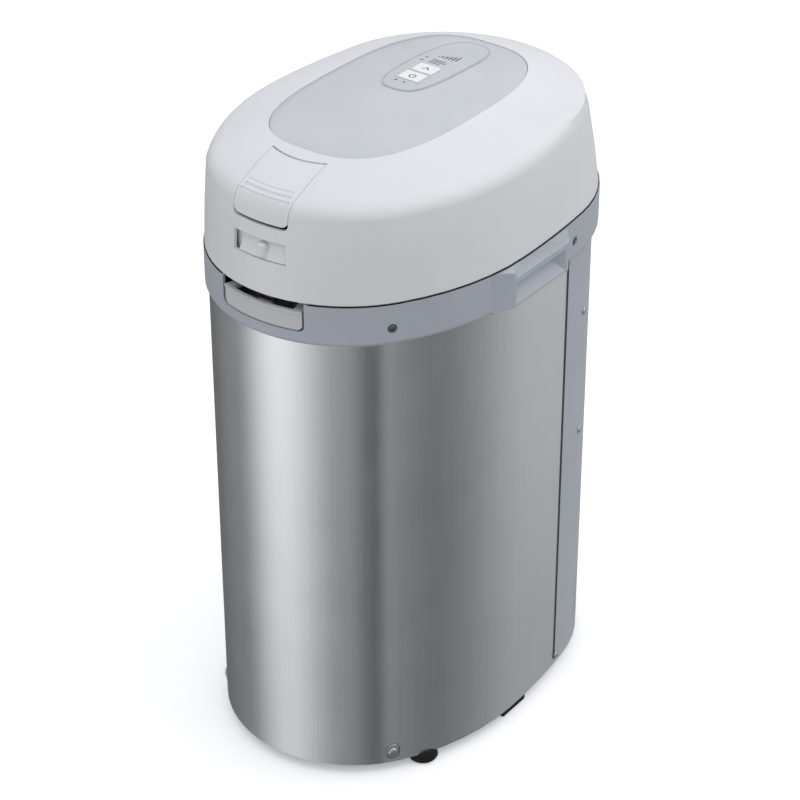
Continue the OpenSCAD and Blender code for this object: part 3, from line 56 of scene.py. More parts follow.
looks_down, turned_round = 31.899, 36.647
camera = placed("camera", bpy.data.cameras.new("camera"))
camera.location = (1.0859, -1.4542, 1.3909)
camera.rotation_euler = (math.radians(90 - looks_down), 0, math.radians(turned_round))
camera.data.lens = 115.256
camera.data.sensor_width = 36
camera.data.shift_x = -0.0086
camera.data.shift_y = 0.00214
camera.data.clip_start = 0.05
camera.data.clip_end = 60
bpy.context.scene.camera = camera
bpy.context.scene.view_settings.view_transform = "Standard"


# Studio: a pale seamless floor, a softbox above the rear right, and a tent hung with soft-edged cards,
# which the steel mirrors as upright bands: a large white card in front, a narrow black flag to its right,
# and grey and dark ones beyond.
def tone(code):
    """The linear colour of an sRGB hex code."""
    levels = [int(code[i:i + 2], 16) / 255 for i in (1, 3, 5)]
    return [c / 12.92 if c <= 0.04045 else ((c + 0.055) / 1.055) ** 2.4 for c in levels] + [1]


def finish(name, colour, rough, metal=0.0):
    """A new material and its shader, with colour, roughness and metalness set on it."""
    skin = bpy.data.materials.new(name)
    skin.use_nodes = True
    shader = skin.node_tree.nodes["Principled BSDF"]
    shader.inputs["Base Color"].default_value = tone(colour)
    shader.inputs["Roughness"].default_value = rough
    shader.inputs["Metallic"].default_value = metal
    return skin, shader


def shaped(name, corners, faces, skin=None):
    """A new object with a mesh of those corners and faces, in that material where one is given."""
    mesh = bpy.data.meshes.new(name)
    mesh.from_pydata([tuple(c) for c in corners], [], faces)
    if skin:
        mesh.materials.append(skin)
    return placed(name, mesh)


def add(tree, kind, links=(), **settings):
    """Adds a node, sets its own settings, and fills its inputs with numbers or other nodes' outputs."""
    node = tree.nodes.new(kind)
    for name, value in settings.items():
        setattr(node, name, value)
    for name, value in dict(links).items():
        if isinstance(value, bpy.types.NodeSocket):
            tree.links.new(value, node.inputs[name])
        else:
            node.inputs[name].default_value = value
    return node


floor_reach = 9
paper, shader = finish("seamless_paper", "#FBFBFC", 0.9)
shader.inputs["Emission Color"].default_value = tone("#FBFCFF")
shader.inputs["Emission Strength"].default_value = 0.3
floor_corners = [(x * floor_reach, y * floor_reach, 0) for x, y in ((-1, -1), (1, -1), (1, 1), (-1, 1))]
floor = shaped("studio_floor", floor_corners, [(0, 1, 2, 3)], paper)
floor.visible_glossy = False
floor.visible_diffuse = False

tent = bpy.data.worlds.new("tent")
bpy.context.scene.world = tent
tent.use_nodes = True
walls = tent.node_tree
heading = add(walls, "ShaderNodeTexCoord")
way = add(walls, "ShaderNodeSeparateXYZ", {0: heading.outputs["Generated"]})
ahead = add(walls, "ShaderNodeMath", {0: way.outputs["Y"], 1: -1.0}, operation="MULTIPLY")
turn = add(walls, "ShaderNodeMath", {0: way.outputs["X"], 1: ahead.outputs[0]}, operation="ARCTAN2")
round_share = add(walls, "ShaderNodeMapRange",
                  {"Value": turn.outputs[0], "From Min": -math.pi, "From Max": math.pi})

# The cards: each one's bearing from the front in degrees, to the right, and its brightness.
cards = [(-180, 0.36), (-120, 0.12), (-72, 0.24), (-24, 1.0), (30, 0.33),
         (57, 0.08), (66, 0.30), (92, 0.16), (155, 0.48), (180, 0.36)]
ring = add(walls, "ShaderNodeValToRGB", {"Fac": round_share.outputs[0]})
ring.color_ramp.interpolation = "EASE"
stops = ring.color_ramp.elements
while len(stops) < len(cards):
    stops.new(0.5)
for stop, (card_bearing, bright) in zip(stops, cards):
    stop.position = card_bearing / 360 + 0.5
    stop.color = (bright, bright, bright, 1)

# The cards dim near the floor and fade to an even grey towards the horizon, where the roof cloth takes over.
dim_grey = (0.13, 0.13, 0.13, 1)
even_grey = (0.40, 0.405, 0.41, 1)
roof_front, roof_rear = (0.50, 0.512, 0.524, 1), (0.96, 0.965, 0.98, 1)
drop = add(walls, "ShaderNodeMapRange",
           {"Value": way.outputs["Z"], "From Min": -0.52, "From Max": -0.62, "To Max": 0.5})
sides = add(walls, "ShaderNodeMix",
            {"Factor": drop.outputs[0], 6: ring.outputs[0], 7: dim_grey}, data_type="RGBA")
calm = add(walls, "ShaderNodeMapRange",
           {"Value": way.outputs["Z"], "From Min": -0.42, "From Max": -0.3, "To Max": 0.6})
soft = add(walls, "ShaderNodeMix",
           {"Factor": calm.outputs[0], 6: sides.outputs[2], 7: even_grey}, data_type="RGBA")
height = add(walls, "ShaderNodeMapRange", {"Value": way.outputs["Z"], "From Min": -0.1, "From Max": 0.5})
lean = add(walls, "ShaderNodeMath",
           {0: way.outputs["X"], 1: 0.35, 2: way.outputs["Y"]}, operation="MULTIPLY_ADD")
span = add(walls, "ShaderNodeMapRange", {"Value": lean.outputs[0], "From Min": -1.2, "From Max": 1.2})
cover = add(walls, "ShaderNodeMix",
            {"Factor": span.outputs[0], 6: roof_front, 7: roof_rear}, data_type="RGBA")
roof = add(walls, "ShaderNodeMix",
           {"Factor": height.outputs[0], 6: soft.outputs[2], 7: cover.outputs[2]}, data_type="RGBA")
glow = walls.nodes["Background"]
walls.links.new(roof.outputs[2], glow.inputs["Color"])
glow.inputs["Strength"].default_value = 1.25

ring_middle = Vector((0, 0, 0.42))
softbox = placed("softbox", bpy.data.lights.new("softbox", "AREA"))
softbox.data.shape = "SQUARE"
softbox.data.size = 1.3
softbox.data.energy = 3.5
softbox.location = (1.3, 0.6, 1.9)
softbox.rotation_euler = (softbox.location - ring_middle).to_track_quat("Z", "Y").to_euler()


# Base tray: dark polypropylene, injection moulded in a spark-eroded texture, screwed under the steel.
# The texture gives it a dull, slightly grainy face that hides scratches.
def grained(shader, size, depth, tones, rough, edge=0.0004, stretch=(1, 1, 1)):
    """Grain of a size in metres, with wide faint clouds, moves tone, gloss and tilt; edges are eased."""
    tree = shader.id_data
    cloud, detail = 1 / 22, 3.0
    low, high = 0.6, 1.4
    place = add(tree, "ShaderNodeTexCoord")
    laid = add(tree, "ShaderNodeMapping", {"Vector": place.outputs["Object"], "Scale": stretch})
    fine = add(tree, "ShaderNodeTexNoise", {"Vector": laid.outputs[0], "Scale": 1 / size, "Detail": detail})
    wide = add(tree, "ShaderNodeTexNoise",
               {"Vector": place.outputs["Object"], "Scale": 1 / cloud, "Detail": detail})
    both = add(tree, "ShaderNodeMath", {0: fine.outputs["Fac"], 1: wide.outputs["Fac"]}, operation="ADD")
    share = add(tree, "ShaderNodeMapRange", {"Value": both.outputs[0], "From Min": low, "From Max": high})
    shade = add(tree, "ShaderNodeMix",
                {"Factor": share.outputs[0], 6: tone(tones[0]), 7: tone(tones[1])}, data_type="RGBA")
    gloss = add(tree, "ShaderNodeMapRange",
                {"Value": share.outputs[0], "To Min": rough[0], "To Max": rough[1]})
    eased = add(tree, "ShaderNodeBevel", {"Radius": edge}, samples=4)
    bump = add(tree, "ShaderNodeBump",
               {"Height": fine.outputs["Fac"], "Distance": depth, "Normal": eased.outputs[0]})
    tree.links.new(shade.outputs[2], shader.inputs["Base Color"])
    tree.links.new(gloss.outputs[0], shader.inputs["Roughness"])
    tree.links.new(bump.outputs[0], shader.inputs["Normal"])


weld_gap = 0.000004
crisp_bend = math.radians(28)
one_skin = bpy.data.node_groups.new("one_skin", "GeometryNodeTree")
one_skin.interface.new_socket("Geometry", in_out="INPUT", socket_type="NodeSocketGeometry")
one_skin.interface.new_socket("Geometry", in_out="OUTPUT", socket_type="NodeSocketGeometry")
loose = add(one_skin, "NodeGroupInput")
joined = add(one_skin, "GeometryNodeMergeByDistance", {"Geometry": loose.outputs[0], "Distance": weld_gap})
bend = add(one_skin, "GeometryNodeInputMeshEdgeAngle")
crisp = add(one_skin, "FunctionNodeCompare",
            {0: bend.outputs["Unsigned Angle"], 1: crisp_bend}, data_type="FLOAT", operation="GREATER_THAN")
shaded = add(one_skin, "GeometryNodeSetMeshNormal",
             {"Mesh": joined.outputs[0], "Remove Custom": True, "Edge Sharpness": crisp.outputs[0]},
             mode="SHARPNESS")
add(one_skin, "NodeGroupOutput", {0: shaded.outputs[0]})


def dress(skin, *names):
    """Gives CAD nodes their material, and shades them as one skin that is crisp only at real edges."""
    for name in names:
        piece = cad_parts[name]
        piece.data.materials.clear()
        piece.data.materials.append(skin)
        piece.modifiers.new("one_skin", "NODES").node_group = one_skin


dark_pp, shader = finish("dark_polypropylene", "#3A3C3F", 0.5)
shader.inputs["IOR"].default_value = 1.49
grained(shader, size=0.0008, depth=0.00004, tones=("#35373A", "#414346"), rough=(0.44, 0.6))
dress(dark_pp, "base_tray")

# Feet: black rubber, compression moulded and pressed into the tray,
# dusty and dull where they touch the floor.
rubber, shader = finish("moulded_rubber", "#141415", 0.75)
shader.inputs["Specular IOR Level"].default_value = 0.3
shader.inputs["IOR"].default_value = 1.52
grained(shader, size=0.0007, depth=0.00005, tones=("#101011", "#1B1B1C"), rough=(0.66, 0.86))
dress(rubber, "front_feet", "side_feet", "rear_feet")

# Inner sheet metal: bulkhead, chamber, ducts and inner lid pressed from thin stainless sheet,
# left as rolled: it mirrors softly, and faint rolling marks run along it.
rolled, shader = finish("rolled_stainless", "#BEBFC1", 0.3, metal=1.0)
grained(shader, size=0.0016, depth=0.000006, tones=("#B2B4B6", "#C9CACB"), rough=(0.24, 0.38),
        stretch=(1, 0.05, 1))
dress(rolled, "rear_bulkhead", "chamber", "exhaust_duct", "catalyst_box", "inner_lid", "fan_bracket")

# Turned and pressed steel: shafts, pins, blades, hook, catch and the motors' cans,
# bright zinc plated or ground, with fine marks that break the highlight up.
turned, shader = finish("bright_steel", "#B9BBBE", 0.26, metal=1.0)
grained(shader, size=0.0006, depth=0.00001, tones=("#ADAFB3", "#C6C8CA"), rough=(0.2, 0.36))
dress(turned, "fixed_blades", "stir_motor", "drive_shaft", "hinge_pin", "latch_catch", "fan_motor",
      "tongue_pin", "tongue_spring", "latch_hook", "circulation_fan")

# Gearbox: aluminium die cast in two halves that close over the gears, with the grey, faintly mottled skin
# that the mould leaves. The hinge bracket is cast in the same way.
cast, shader = finish("cast_aluminium", "#A9ABAD", 0.55, metal=1.0)
grained(shader, size=0.0012, depth=0.00008, tones=("#9A9CA0", "#B6B8BA"), rough=(0.46, 0.64), edge=0.0006)
dress(cast, "gearbox_case", "gearbox_cover", "hinge_bracket")

# Gears: two of moulded nylon, waxy and a little translucent,
# and the motor's pinion, cut from brass bar and bright on its teeth.
nylon, shader = finish("moulded_nylon", "#D8D3BF", 0.45)
shader.inputs["IOR"].default_value = 1.53
shader.inputs["Subsurface Weight"].default_value = 0.08
shader.inputs["Subsurface Scale"].default_value = 0.002
grained(shader, size=0.001, depth=0.00002, tones=("#D0CAB4", "#DFDAC9"), rough=(0.38, 0.52), edge=0.0003)
dress(nylon, "output_gear", "idler_gear")
brass, shader = finish("cut_brass", "#D2AE62", 0.3, metal=1.0)
grained(shader, size=0.0006, depth=0.00001, tones=("#C49C50", "#DCBB74"), rough=(0.22, 0.38), edge=0.0002)
dress(brass, "motor_pinion")

# Container and stirrer: aluminium die castings under a dark non-stick coating sprayed on and baked,
# which leaves a fine orange-peel with pale specks in it.
nonstick, shader = finish("nonstick_coating", "#3B3D40", 0.4)
shader.inputs["Coat Weight"].default_value = 0.15
shader.inputs["Coat Roughness"].default_value = 0.25
grained(shader, size=0.0009, depth=0.00005, tones=("#313336", "#4A4C4F"), rough=(0.34, 0.5))
dress(nonstick, "container", "stirring_rotor")

# Container's handle: pale grey polypropylene, moulded in a satin face, folded down into the ring's notch,
# where its grip shows as a light lip under the lid.
grip_pp, shader = finish("satin_polypropylene", "#D0D1D3", 0.5)
shader.inputs["IOR"].default_value = 1.49
grained(shader, size=0.0009, depth=0.00002, tones=("#CCCDCF", "#D4D5D7"), rough=(0.44, 0.56), edge=0.0008)
dress(grip_pp, "container_handle")

# Exhaust: a honeycomb of fired ceramic with a chalky face, in its steel box,
# over a fan of black glass-filled plastic.
ceramic, shader = finish("fired_ceramic", "#C3AE88", 0.85)
grained(shader, size=0.0012, depth=0.0002, tones=("#B49E76", "#D0BD9A"), rough=(0.78, 0.95), edge=0.0003)
dress(ceramic, "catalyst_block")
black_pbt, shader = finish("glass_filled_plastic", "#222326", 0.45)
shader.inputs["IOR"].default_value = 1.57
grained(shader, size=0.0007, depth=0.00002, tones=("#1C1D20", "#2B2C2F"), rough=(0.38, 0.52), edge=0.0003)
dress(black_pbt, "fan_frame", "cord_inlet", "exhaust_fan")

# Boards: glass-epoxy laminate under green solder mask, with a wet gloss.
# The parts soldered on them are one solid with the board, so they share its green.
mask, shader = finish("solder_mask", "#1F5A34", 0.35)
shader.inputs["IOR"].default_value = 1.55
grained(shader, size=0.003, depth=0.00002, tones=("#184B2A", "#28683D"), rough=(0.28, 0.42), edge=0.0001)
dress(mask, "control_board", "power_board")

# Steel wrap: 0.8 mm stainless sheet with an upright hairline, bent round the front and screwed near its foot.
# Real hairlines are about 0.05 mm apart; they are drawn 0.7 mm wide so that they show.
hairline, shader = finish("hairline_stainless", "#DADCE0", 0.25, metal=1.0)
shader.inputs["Anisotropic"].default_value = 0.3
shader.inputs["Anisotropic Rotation"].default_value = 0.25
upright = add(shader.id_data, "ShaderNodeTangent", direction_type="RADIAL", axis="Z")
shader.id_data.links.new(upright.outputs[0], shader.inputs["Tangent"])
grained(shader, size=0.0007, depth=0.000002, tones=("#D6D8DC", "#DEE0E4"), rough=(0.2, 0.26),
        edge=0.0002, stretch=(1, 1, 0.004))
dress(hairline, "steel_wrap")

# Ring, rear cover, deck and the lid's lower half: cool grey ABS in a fine satin texture,
# moulded in one colour.
grey_abs, shader = finish("grey_abs", "#B6BCC5", 0.45)
shader.inputs["IOR"].default_value = 1.53
grained(shader, size=0.0008, depth=0.00002, tones=("#B2B8C1", "#BAC0C9"), rough=(0.4, 0.52), edge=0.0006)
dress(grey_abs, "body_ring", "rear_cover", "top_deck", "lid_base")

# Lid seam: a near-black strip along the ring's top edge, inside the lid's rim, that paints the shadow in the
# gap under the lid.
# It stops at the notch and short of the hinge, and shows as the dark line between lid and ring.
# The strip's near-black colour is painted shadow in the gap between lid and ring.
gap_shade, shader = finish("painted_seam_shadow", "#17181A", 0.9)
grained(shader, size=0.0006, depth=0.00008, tones=("#121314", "#1F2022"), rough=(0.84, 0.96))
strip_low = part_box("body_ring")[1].z + 0.0001
strip_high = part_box("lid_shell")[0].z - 0.00012
strip_outer, strip_inner = -0.0006, 0.0024  # inside the lid's rim
notch_y, notch_half, hinge_y = -0.15, 0.039, 0.15
hub_y = -0.02
strip_steps, slice_reach = 120, 0.06
rim_depth, shortest_step = 0.0002, 0.0005
rim = np.array([v.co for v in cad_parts["lid_shell"].data.vertices])
rim = rim[rim[:, 2] < rim[:, 2].min() + rim_depth]
bearing = np.arctan2(rim[:, 0], hub_y - rim[:, 1])
reach = np.hypot(rim[:, 0], rim[:, 1] - hub_y)
path = []
for k in range(strip_steps):
    middle = -math.pi + (k + 0.5) * 2 * math.pi / strip_steps
    near = np.abs(np.angle(np.exp(1j * (bearing - middle)))) < slice_reach
    if near.any():
        path.append(rim[np.flatnonzero(near)[np.argmax(reach[near])]])
path = [p for i, p in enumerate(path) if i == 0 or np.linalg.norm(p - path[i - 1]) > shortest_step]
section = ((strip_outer, strip_low), (strip_outer, strip_high),
           (strip_inner, strip_high), (strip_inner, strip_low))
corners, faces = [], []
for p in path:
    out = np.array([p[0], p[1] - hub_y])
    out = out / np.linalg.norm(out)
    for inset, z in section:
        corners.append((p[0] - out[0] * inset, p[1] - out[1] * inset, z))
for i in range(len(path)):
    j = (i + 1) % len(path)
    middle = (path[i] + path[j]) / 2
    at_notch = middle[1] < notch_y and abs(middle[0]) < notch_half
    if at_notch or middle[1] > hinge_y:
        continue
    for a in range(4):
        b = (a + 1) % 4
        faces.append((4 * i + a, 4 * i + b, 4 * j + b, 4 * j + a))
shadow_strip_piece = shaped("lid_seam_shade_strip", corners, faces, gap_shade)
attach(shadow_strip_piece, "body")

# Steel's rear edges: a dark grey strip on the raw edge of the sheet, where it meets the rear cover,
# that paints the shadow line in the gap between them.
# The strip's dark grey colour is painted shadow in the gap between steel and rear cover.
painted_edge_shadow, shader = finish("painted_edge_shadow", "#404247", 0.7)
grained(shader, size=0.0006, depth=0.00003, tones=("#3B3D42", "#484A4F"), rough=(0.62, 0.8))
trim_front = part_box("steel_wrap")[1].y + 0.0004
trim_rear = trim_front + 0.0012
trim_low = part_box("rear_cover")[0].z + 0.006
trim_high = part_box("rear_cover")[1].z - 0.0003
trim_sunk, trim_proud, trim_lip, beside = 0.0002, 0.0007, 0.0005, 0.0022
trim_faces = [(0, 1, 2, 3), (4, 7, 6, 5), (0, 4, 5, 1), (1, 5, 6, 2), (2, 6, 7, 3), (3, 7, 4, 0)]
cover_spots = np.array([v.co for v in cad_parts["rear_cover"].data.vertices])
front_x, rear_x = [np.abs(cover_spots[np.abs(cover_spots[:, 1] - y) < beside][:, 0]).max()
                   for y in (trim_front, trim_rear)]
for side, name in ((-1, "wrap_edge_shade_left"), (1, "wrap_edge_shade_right")):
    corners = []
    for z in (trim_low, trim_high):
        for x, y in ((front_x - trim_sunk, trim_front), (front_x + trim_proud, trim_front),
                     (rear_x + trim_lip, trim_rear), (rear_x - trim_sunk, trim_rear)):
            corners.append((side * x, y, z))
    edge_shade_piece = shaped(name, corners, trim_faces, painted_edge_shadow)
    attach(edge_shade_piece, "body")


# Screws: pan heads with a cross recess, black oxide in the ring's pockets, nickel plated at the wrap's and
# cover's edges. Each is the solid screw with its recess cut.
def screw_line(points):
    """Where the tip of a screw's head is, which way it points, and two directions across it."""
    body_middle_y = -0.0065
    middle = points.mean(0)
    axis = np.linalg.svd(points - middle)[2][0]
    if axis @ (middle - np.array([0, body_middle_y, middle[2]])) < 0:
        axis = -axis
    tip = middle + axis * ((points - middle) @ axis).max()
    up = np.array([0, 0, 1.0])
    return tip, axis, up, np.cross(up, axis)


def screw_groups(spots):
    """The points of a node of screws, one group for each screw, told apart by side, end and height."""
    front_end, storey = -0.02, 0.04
    cells = {}
    for spot in spots:
        key = (spot[0] > 0, spot[1] > front_end, round(spot[2] / storey))
        cells.setdefault(key, []).append(spot)
    return [np.array(group) for group in cells.values()]


def cross_recess(points):
    """Corners of the two slots of a driver's cross, sunk from the tip of a screw with those points."""
    long, wide, deep, above = 0.0036, 0.0009, 0.0013, 0.001
    tip, axis, up, side = screw_line(points)
    slots = []
    for a, b in ((up, side), (side, up)):
        block = []
        for depth, half in ((above, long / 2), (-deep, long / 4)):
            for u, v in ((-1, -1), (1, -1), (1, 1), (-1, 1)):
                block.append(tip + axis * depth + a * u * half + b * v * wide / 2)
        slots.append(block)
    return slots


def recessed(name, skin):
    """Stands for a CAD node of screws with the same screws, their driver's crosses cut."""
    block_faces = ((3, 2, 1, 0), (4, 5, 6, 7), (0, 1, 5, 4), (1, 2, 6, 5), (2, 3, 7, 6), (3, 0, 4, 7))
    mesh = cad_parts[name].data.copy()
    mesh.materials.clear()
    mesh.materials.append(skin)
    screws = placed(name + "_cross", mesh)
    corners, faces = [], []
    for group in screw_groups([v.co for v in mesh.vertices]):
        for block in cross_recess(group):
            start = len(corners)
            corners.extend(block)
            faces.extend([tuple(start + k for k in face) for face in block_faces])
    cutter = shaped(name + "_driver", corners, faces)
    weld = screws.modifiers.new("weld", "WELD")
    weld.merge_threshold = weld_gap
    cut = screws.modifiers.new("cut", "BOOLEAN")
    cut.operation = "DIFFERENCE"
    cut.solver = "EXACT"
    cut.use_self = True
    cut.object = cutter
    screws.modifiers.new("one_skin", "NODES").node_group = one_skin
    bpy.context.view_layer.update()
    ready = bpy.data.meshes.new_from_object(screws.evaluated_get(bpy.context.evaluated_depsgraph_get()))
    screws.modifiers.clear()
    screws.data = ready
    bpy.data.objects.remove(cutter)
    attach(screws, "body")
    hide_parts(name)


black_oxide, shader = finish("black_oxide_steel", "#6C6E72", 0.36, metal=1.0)
grained(shader, size=0.0005, depth=0.00002, tones=("#5C5E62", "#7E8084"), rough=(0.3, 0.46), edge=0.0002)
nickel, shader = finish("nickel_plate", "#C2C3C4", 0.25, metal=1.0)
grained(shader, size=0.0005, depth=0.00001, tones=("#B4B5B6", "#D0D1D2"), rough=(0.18, 0.32), edge=0.0002)


# Washers under the wrap's two front screws: a dished nickel cup that carries the head, on a near-black ring,
# wider than the cup, that paints the shade round the head's rim on the steel. The two rear screws sit at the
# sheet's edge, where there is no room for one.
def turned_rings(name, profile, skin):
    """A ring turned to a profile of radii and heights over the head's seat, in mm, under each front screw."""
    turns, rows, head_height = 40, len(profile), 1.9
    corners, faces = [], []
    for group in screw_groups([v.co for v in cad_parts["wrap_screws"].data.vertices]):
        if group[:, 1].mean() > 0:
            continue
        tip, axis, up, side = screw_line(group)
        start = len(corners)
        for i in range(turns):
            turn = 2 * math.pi * i / turns
            out = up * math.cos(turn) + side * math.sin(turn)
            for radius, lift in profile:
                corners.append(tip + out * radius / 1000 + axis * (lift - head_height) / 1000)
        for i in range(turns):
            for j in range(rows):
                a, b = start + i * rows, start + (i + 1) % turns * rows
                faces.append((a + j, a + (j + 1) % rows, b + (j + 1) % rows, b + j))
    rings = shaped(name, corners, faces, skin)
    rings.modifiers.new("one_skin", "NODES").node_group = one_skin
    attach(rings, "body")


# The ring's near-black colour is painted shade round each front screw's head.
head_shade_skin, shader = finish("painted_rim_shade", "#242528", 0.5)
shader.inputs["IOR"].default_value = 1.53
grained(shader, size=0.0005, depth=0.00002, tones=("#1F2023", "#2C2D31"), rough=(0.44, 0.58), edge=0.0002)
ring_profile = ((4.6, -0.6), (6.0, -0.6), (6.2, -0.3), (6.1, 0.02), (5.8, 0.08), (4.6, 0.08))
cup_profile = ((3.0, -0.5), (5.5, -0.5), (5.6, 0.05), (5.4, 0.3), (4.9, 0.5), (4.2, 0.62), (3.0, 0.62))
turned_rings("washer_shade_rings", ring_profile, head_shade_skin)
turned_rings("washer_cups", cup_profile, nickel)
recessed("ring_screws", black_oxide)
recessed("wrap_screws", nickel)
recessed("cover_screws", nickel)

# Lid shell, tongue and lock: white ABS, injection moulded in a fine satin texture,
# so the light rolls over the shoulder softly and shows almost no grain.
white_abs, shader = finish("white_abs", "#E9EBEE", 0.42)
shader.inputs["IOR"].default_value = 1.53
grained(shader, size=0.0009, depth=0.00001, tones=("#E6E8EB", "#ECEEF1"), rough=(0.38, 0.46), edge=0.0006)
dress(white_abs, "lid_shell", "release_tongue", "lock_slider")
for name in ("lid_shell", "release_tongue"):
    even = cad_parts[name].modifiers.new("even", "WEIGHTED_NORMAL")
    even.keep_sharp = True

# Top panel: ABS sprayed silver under a clear coat;
# the flakes are drawn 0.4 mm wide so that they show as a faint sparkle.
silver_paint, shader = finish("silver_paint", "#C6CAD0", 0.36, metal=0.25)
shader.inputs["Coat Weight"].default_value = 0.35
shader.inputs["Coat Roughness"].default_value = 0.18
grained(shader, size=0.0004, depth=0.000002, tones=("#C4C8CE", "#D0D4D9"), rough=(0.32, 0.42))
dress(silver_paint, "lid_panel")

# Operation sheet: a polycarbonate film, silver on its back, glued over the lamps and round the buttons.
# Its even gloss sets it off from the satin panel.
film, shader = finish("printed_film", "#C4C9D0", 0.24)
shader.inputs["IOR"].default_value = 1.58
grained(shader, size=0.0005, depth=0.000001, tones=("#C1C6CD", "#C8CCD3"), rough=(0.2, 0.28), edge=0.0002)
dress(film, "panel_window")

# Buttons: white ABS caps, moulded in a polished tool, that stand just proud of the film
# and are pressed down through it.
gloss_white, shader = finish("gloss_abs", "#F4F5F6", 0.2)
shader.inputs["IOR"].default_value = 1.53
grained(shader, size=0.0006, depth=0.000001, tones=("#F1F2F3", "#F8F8F9"), rough=(0.16, 0.24), edge=0.0007)
dress(gloss_white, "start_button", "mode_button")

# Print on the film and the buttons: screen-printed ink a few hundredths of a millimetre thick,
# as a start ring, a mode arrow, a framed field of level bars, and small lamp windows beside them.
sheet_low, sheet_high = (corner * 1000 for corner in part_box("panel_window"))
panel_low, panel_high = (corner * 1000 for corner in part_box("lid_panel"))
panel_middle, panel_half = (panel_low + panel_high) / 2, (panel_high - panel_low) / 2
panel_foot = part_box("lid_shell")[1].z
dome_power, dome_rise, film_top = 2.86, 0.0062, 0.00046


def on_film(x, y):
    """Height of the film's face over the domed panel, in metres, for a place in millimetres."""
    across = abs((x - panel_middle.x) / panel_half.x)
    along = abs((y - panel_middle.y) / panel_half.y)
    far = (across ** dome_power + along ** dome_power) ** (1 / dome_power)
    return panel_foot + dome_rise * (1 - far * far) + film_top


def printed(name, lines, height, skin, body):
    """Ink along lines: each is its width and its points in millimetres, closed where it ends on its start."""
    ink_thick, widest_bend = 0.00005, 0.5
    corners, faces = [], []
    for width, line in lines:
        line = np.array(line, float)
        closed = np.allclose(line[0], line[-1])
        if closed:
            line = line[:-1]
        count = len(line)
        start = len(corners)
        for i in range(count):
            before = line[i - 1] if closed or i else line[i]
            after = line[(i + 1) % count] if closed or i < count - 1 else line[i]
            one = line[i] - before
            two = after - line[i]
            one = one / (np.linalg.norm(one) or 1)
            two = two / (np.linalg.norm(two) or 1)
            along = one + two
            along = along / np.linalg.norm(along)
            across = np.array([-along[1], along[0]])
            bend = max(abs(along @ (one if one.any() else two)), widest_bend)
            for side in (-1, 1):
                x, y = line[i] + across * side * width / 2 / bend
                corners.append((x / 1000, y / 1000, height(x, y)))
        for i in range(count if closed else count - 1):
            a = start + 2 * i
            b = start + 2 * ((i + 1) % count)
            faces.append((a, b, b + 1, a + 1))
    ink = shaped(name, corners, faces, skin)
    thick = ink.modifiers.new("thick", "SOLIDIFY")
    thick.thickness = ink_thick
    thick.offset = 1.0
    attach(ink, body)


def box_line(x0, y0, x1, y1):
    """Closed line of a rectangle with eased corners."""
    ease, nip = 1, 0.3
    return [(x0 + ease, y0), (x1 - ease, y0), (x1 - nip, y0 + nip), (x1, y0 + ease),
            (x1, y1 - ease), (x1 - nip, y1 - nip), (x1 - ease, y1),
            (x0 + ease, y1), (x0 + nip, y1 - nip), (x0, y1 - ease),
            (x0, y0 + ease), (x0 + nip, y0 + nip), (x0 + ease, y0)]


grey_ink, shader = finish("grey_ink", "#4A4E56", 0.5)
grained(shader, size=0.0004, depth=0.000002, tones=("#444850", "#52565E"), rough=(0.44, 0.56))
white_ink, shader = finish("white_ink", "#F0F2F4", 0.45)
grained(shader, size=0.0004, depth=0.000002, tones=("#ECEEF1", "#F5F6F8"), rough=(0.4, 0.5))
lamp_lens, shader = finish("diffusing_lens", "#DFE3E6", 0.3)
shader.inputs["IOR"].default_value = 1.58
grained(shader, size=0.0004, depth=0.000002, tones=("#D9DDE1", "#E6E9EC"), rough=(0.26, 0.36))

ink_sunk = 0.00003
start_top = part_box("start_button")[1].z - ink_sunk
mode_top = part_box("mode_button")[1].z - ink_sunk
button_x, start_y = -3.4, 17.4
stroke, ring_radius, ring_gap, ring_points = 1.0, 2.7, 0.55, 30
ring_turns = np.linspace(ring_gap, 2 * math.pi - ring_gap, ring_points)
ring_line = [(button_x + ring_radius * math.sin(a), start_y + ring_radius * math.cos(a)) for a in ring_turns]
stem = [(button_x, start_y + 0.5), (button_x, start_y + 3.6)]
printed("start_ring", [(stroke, ring_line), (stroke, stem)], lambda x, y: start_top, grey_ink,
        "start")
arrow_stroke, arrow_half, arrow_foot, arrow_tip = 1.1, 2.8, 33.9, 37.6
arrow = [(button_x - arrow_half, arrow_foot), (button_x, arrow_tip), (button_x + arrow_half, arrow_foot)]
printed("mode_arrow", [(arrow_stroke, arrow)], lambda x, y: mode_top, grey_ink, "mode")

display_frame, button_frame = box_line(-13.4, 46.2, 6.6, 74), box_line(-15, 8.2, 8.2, 44.4)
display_rule = [(-13.2, 60), (6.4, 60)]
printed("field_frame", [(0.5, display_frame), (0.4, display_rule), (0.35, button_frame)], on_film, white_ink,
        "lid")

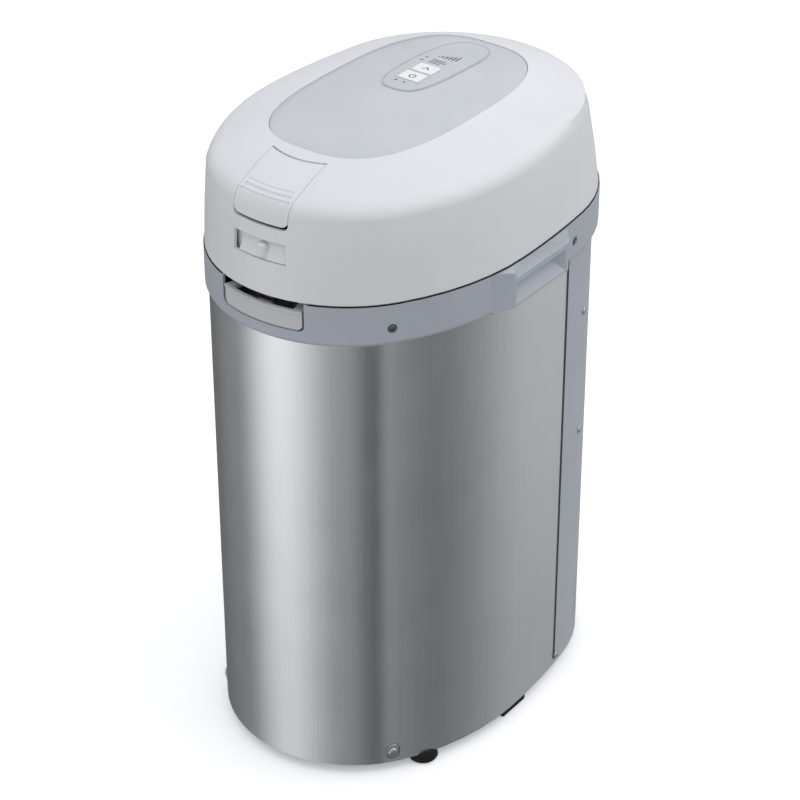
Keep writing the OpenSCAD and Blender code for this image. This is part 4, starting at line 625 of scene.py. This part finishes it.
bar_width, text_width, dash_width = 1.3, 1.1, 1.2
bars_x, bar_pitch, bar_foot, bar_first, bar_rise = -11, 3.1, 63, 1.4, 1.5
mark_x, mark_long = -19.6, 3.2
dash_y, dash_long = 5.2, 2.6
bars = []
for k in range(6):
    x = bars_x + bar_pitch * k
    bars.append((bar_width, [(x, bar_foot), (x, bar_foot + bar_first + bar_rise * k)]))
for y, long in ((49.2, 10), (52.4, 14), (55.6, 12)):
    bars.append((text_width, [(bars_x, y), (bars_x + long, y)]))
for y in (49.6, 56.4):
    bars.append((text_width, [(mark_x, y), (mark_x + mark_long, y)]))
for x in (-11.8, -3.8):
    bars.append((dash_width, [(x, dash_y), (x + dash_long, dash_y)]))
printed("level_bars", bars, on_film, grey_ink, "lid")

edge_ink, shader = finish("edge_ink", "#AAAFB7", 0.45)
grained(shader, size=0.0004, depth=0.000002, tones=("#A5AAB2", "#B0B5BD"), rough=(0.4, 0.5))
edge_width, edge_power, edge_points = 0.7, 2 / 3, 97
edge_inset = Vector((1.1, 1.3, 0))
edge_middle = (sheet_low + sheet_high) / 2
edge_half = (sheet_high - sheet_low) / 2 - edge_inset
edge_line = []
for a in np.linspace(0, 2 * math.pi, edge_points):
    c, s = math.cos(a), math.sin(a)
    edge_line.append((edge_middle.x + edge_half.x * math.copysign(abs(c) ** edge_power, c),
                      edge_middle.y + edge_half.y * math.copysign(abs(s) ** edge_power, s)))
printed("film_border", [(edge_width, edge_line)], on_film, edge_ink, "lid")

lamp_half, lamp_wide = 1.2, 1.5
lamp_spots = ((-18, 52), (-18, 58.8), (-18, 35.6), (-18, 17.6), (-10.5, 2.9), (-2.5, 2.9))
lamps = [(lamp_wide, [(x - lamp_half, y), (x + lamp_half, y)]) for x, y in lamp_spots]
printed("lamp_windows", lamps, on_film, lamp_lens, "lid")

# Lid's underside: a red silicone lip seal round the plate,
# and a steel-sheathed heater tinted by its own heat.
silicone, shader = finish("red_silicone", "#8F4238", 0.6)
shader.inputs["IOR"].default_value = 1.43
grained(shader, size=0.001, depth=0.00003, tones=("#84382E", "#9A4C42"), rough=(0.52, 0.68), edge=0.0003)
dress(silicone, "lid_seal")
tinted, shader = finish("heat_tinted_steel", "#6E5F57", 0.4, metal=1.0)
grained(shader, size=0.004, depth=0.00001, tones=("#574A44", "#8A7563"), rough=(0.32, 0.48), edge=0.0002)
dress(tinted, "air_heater")
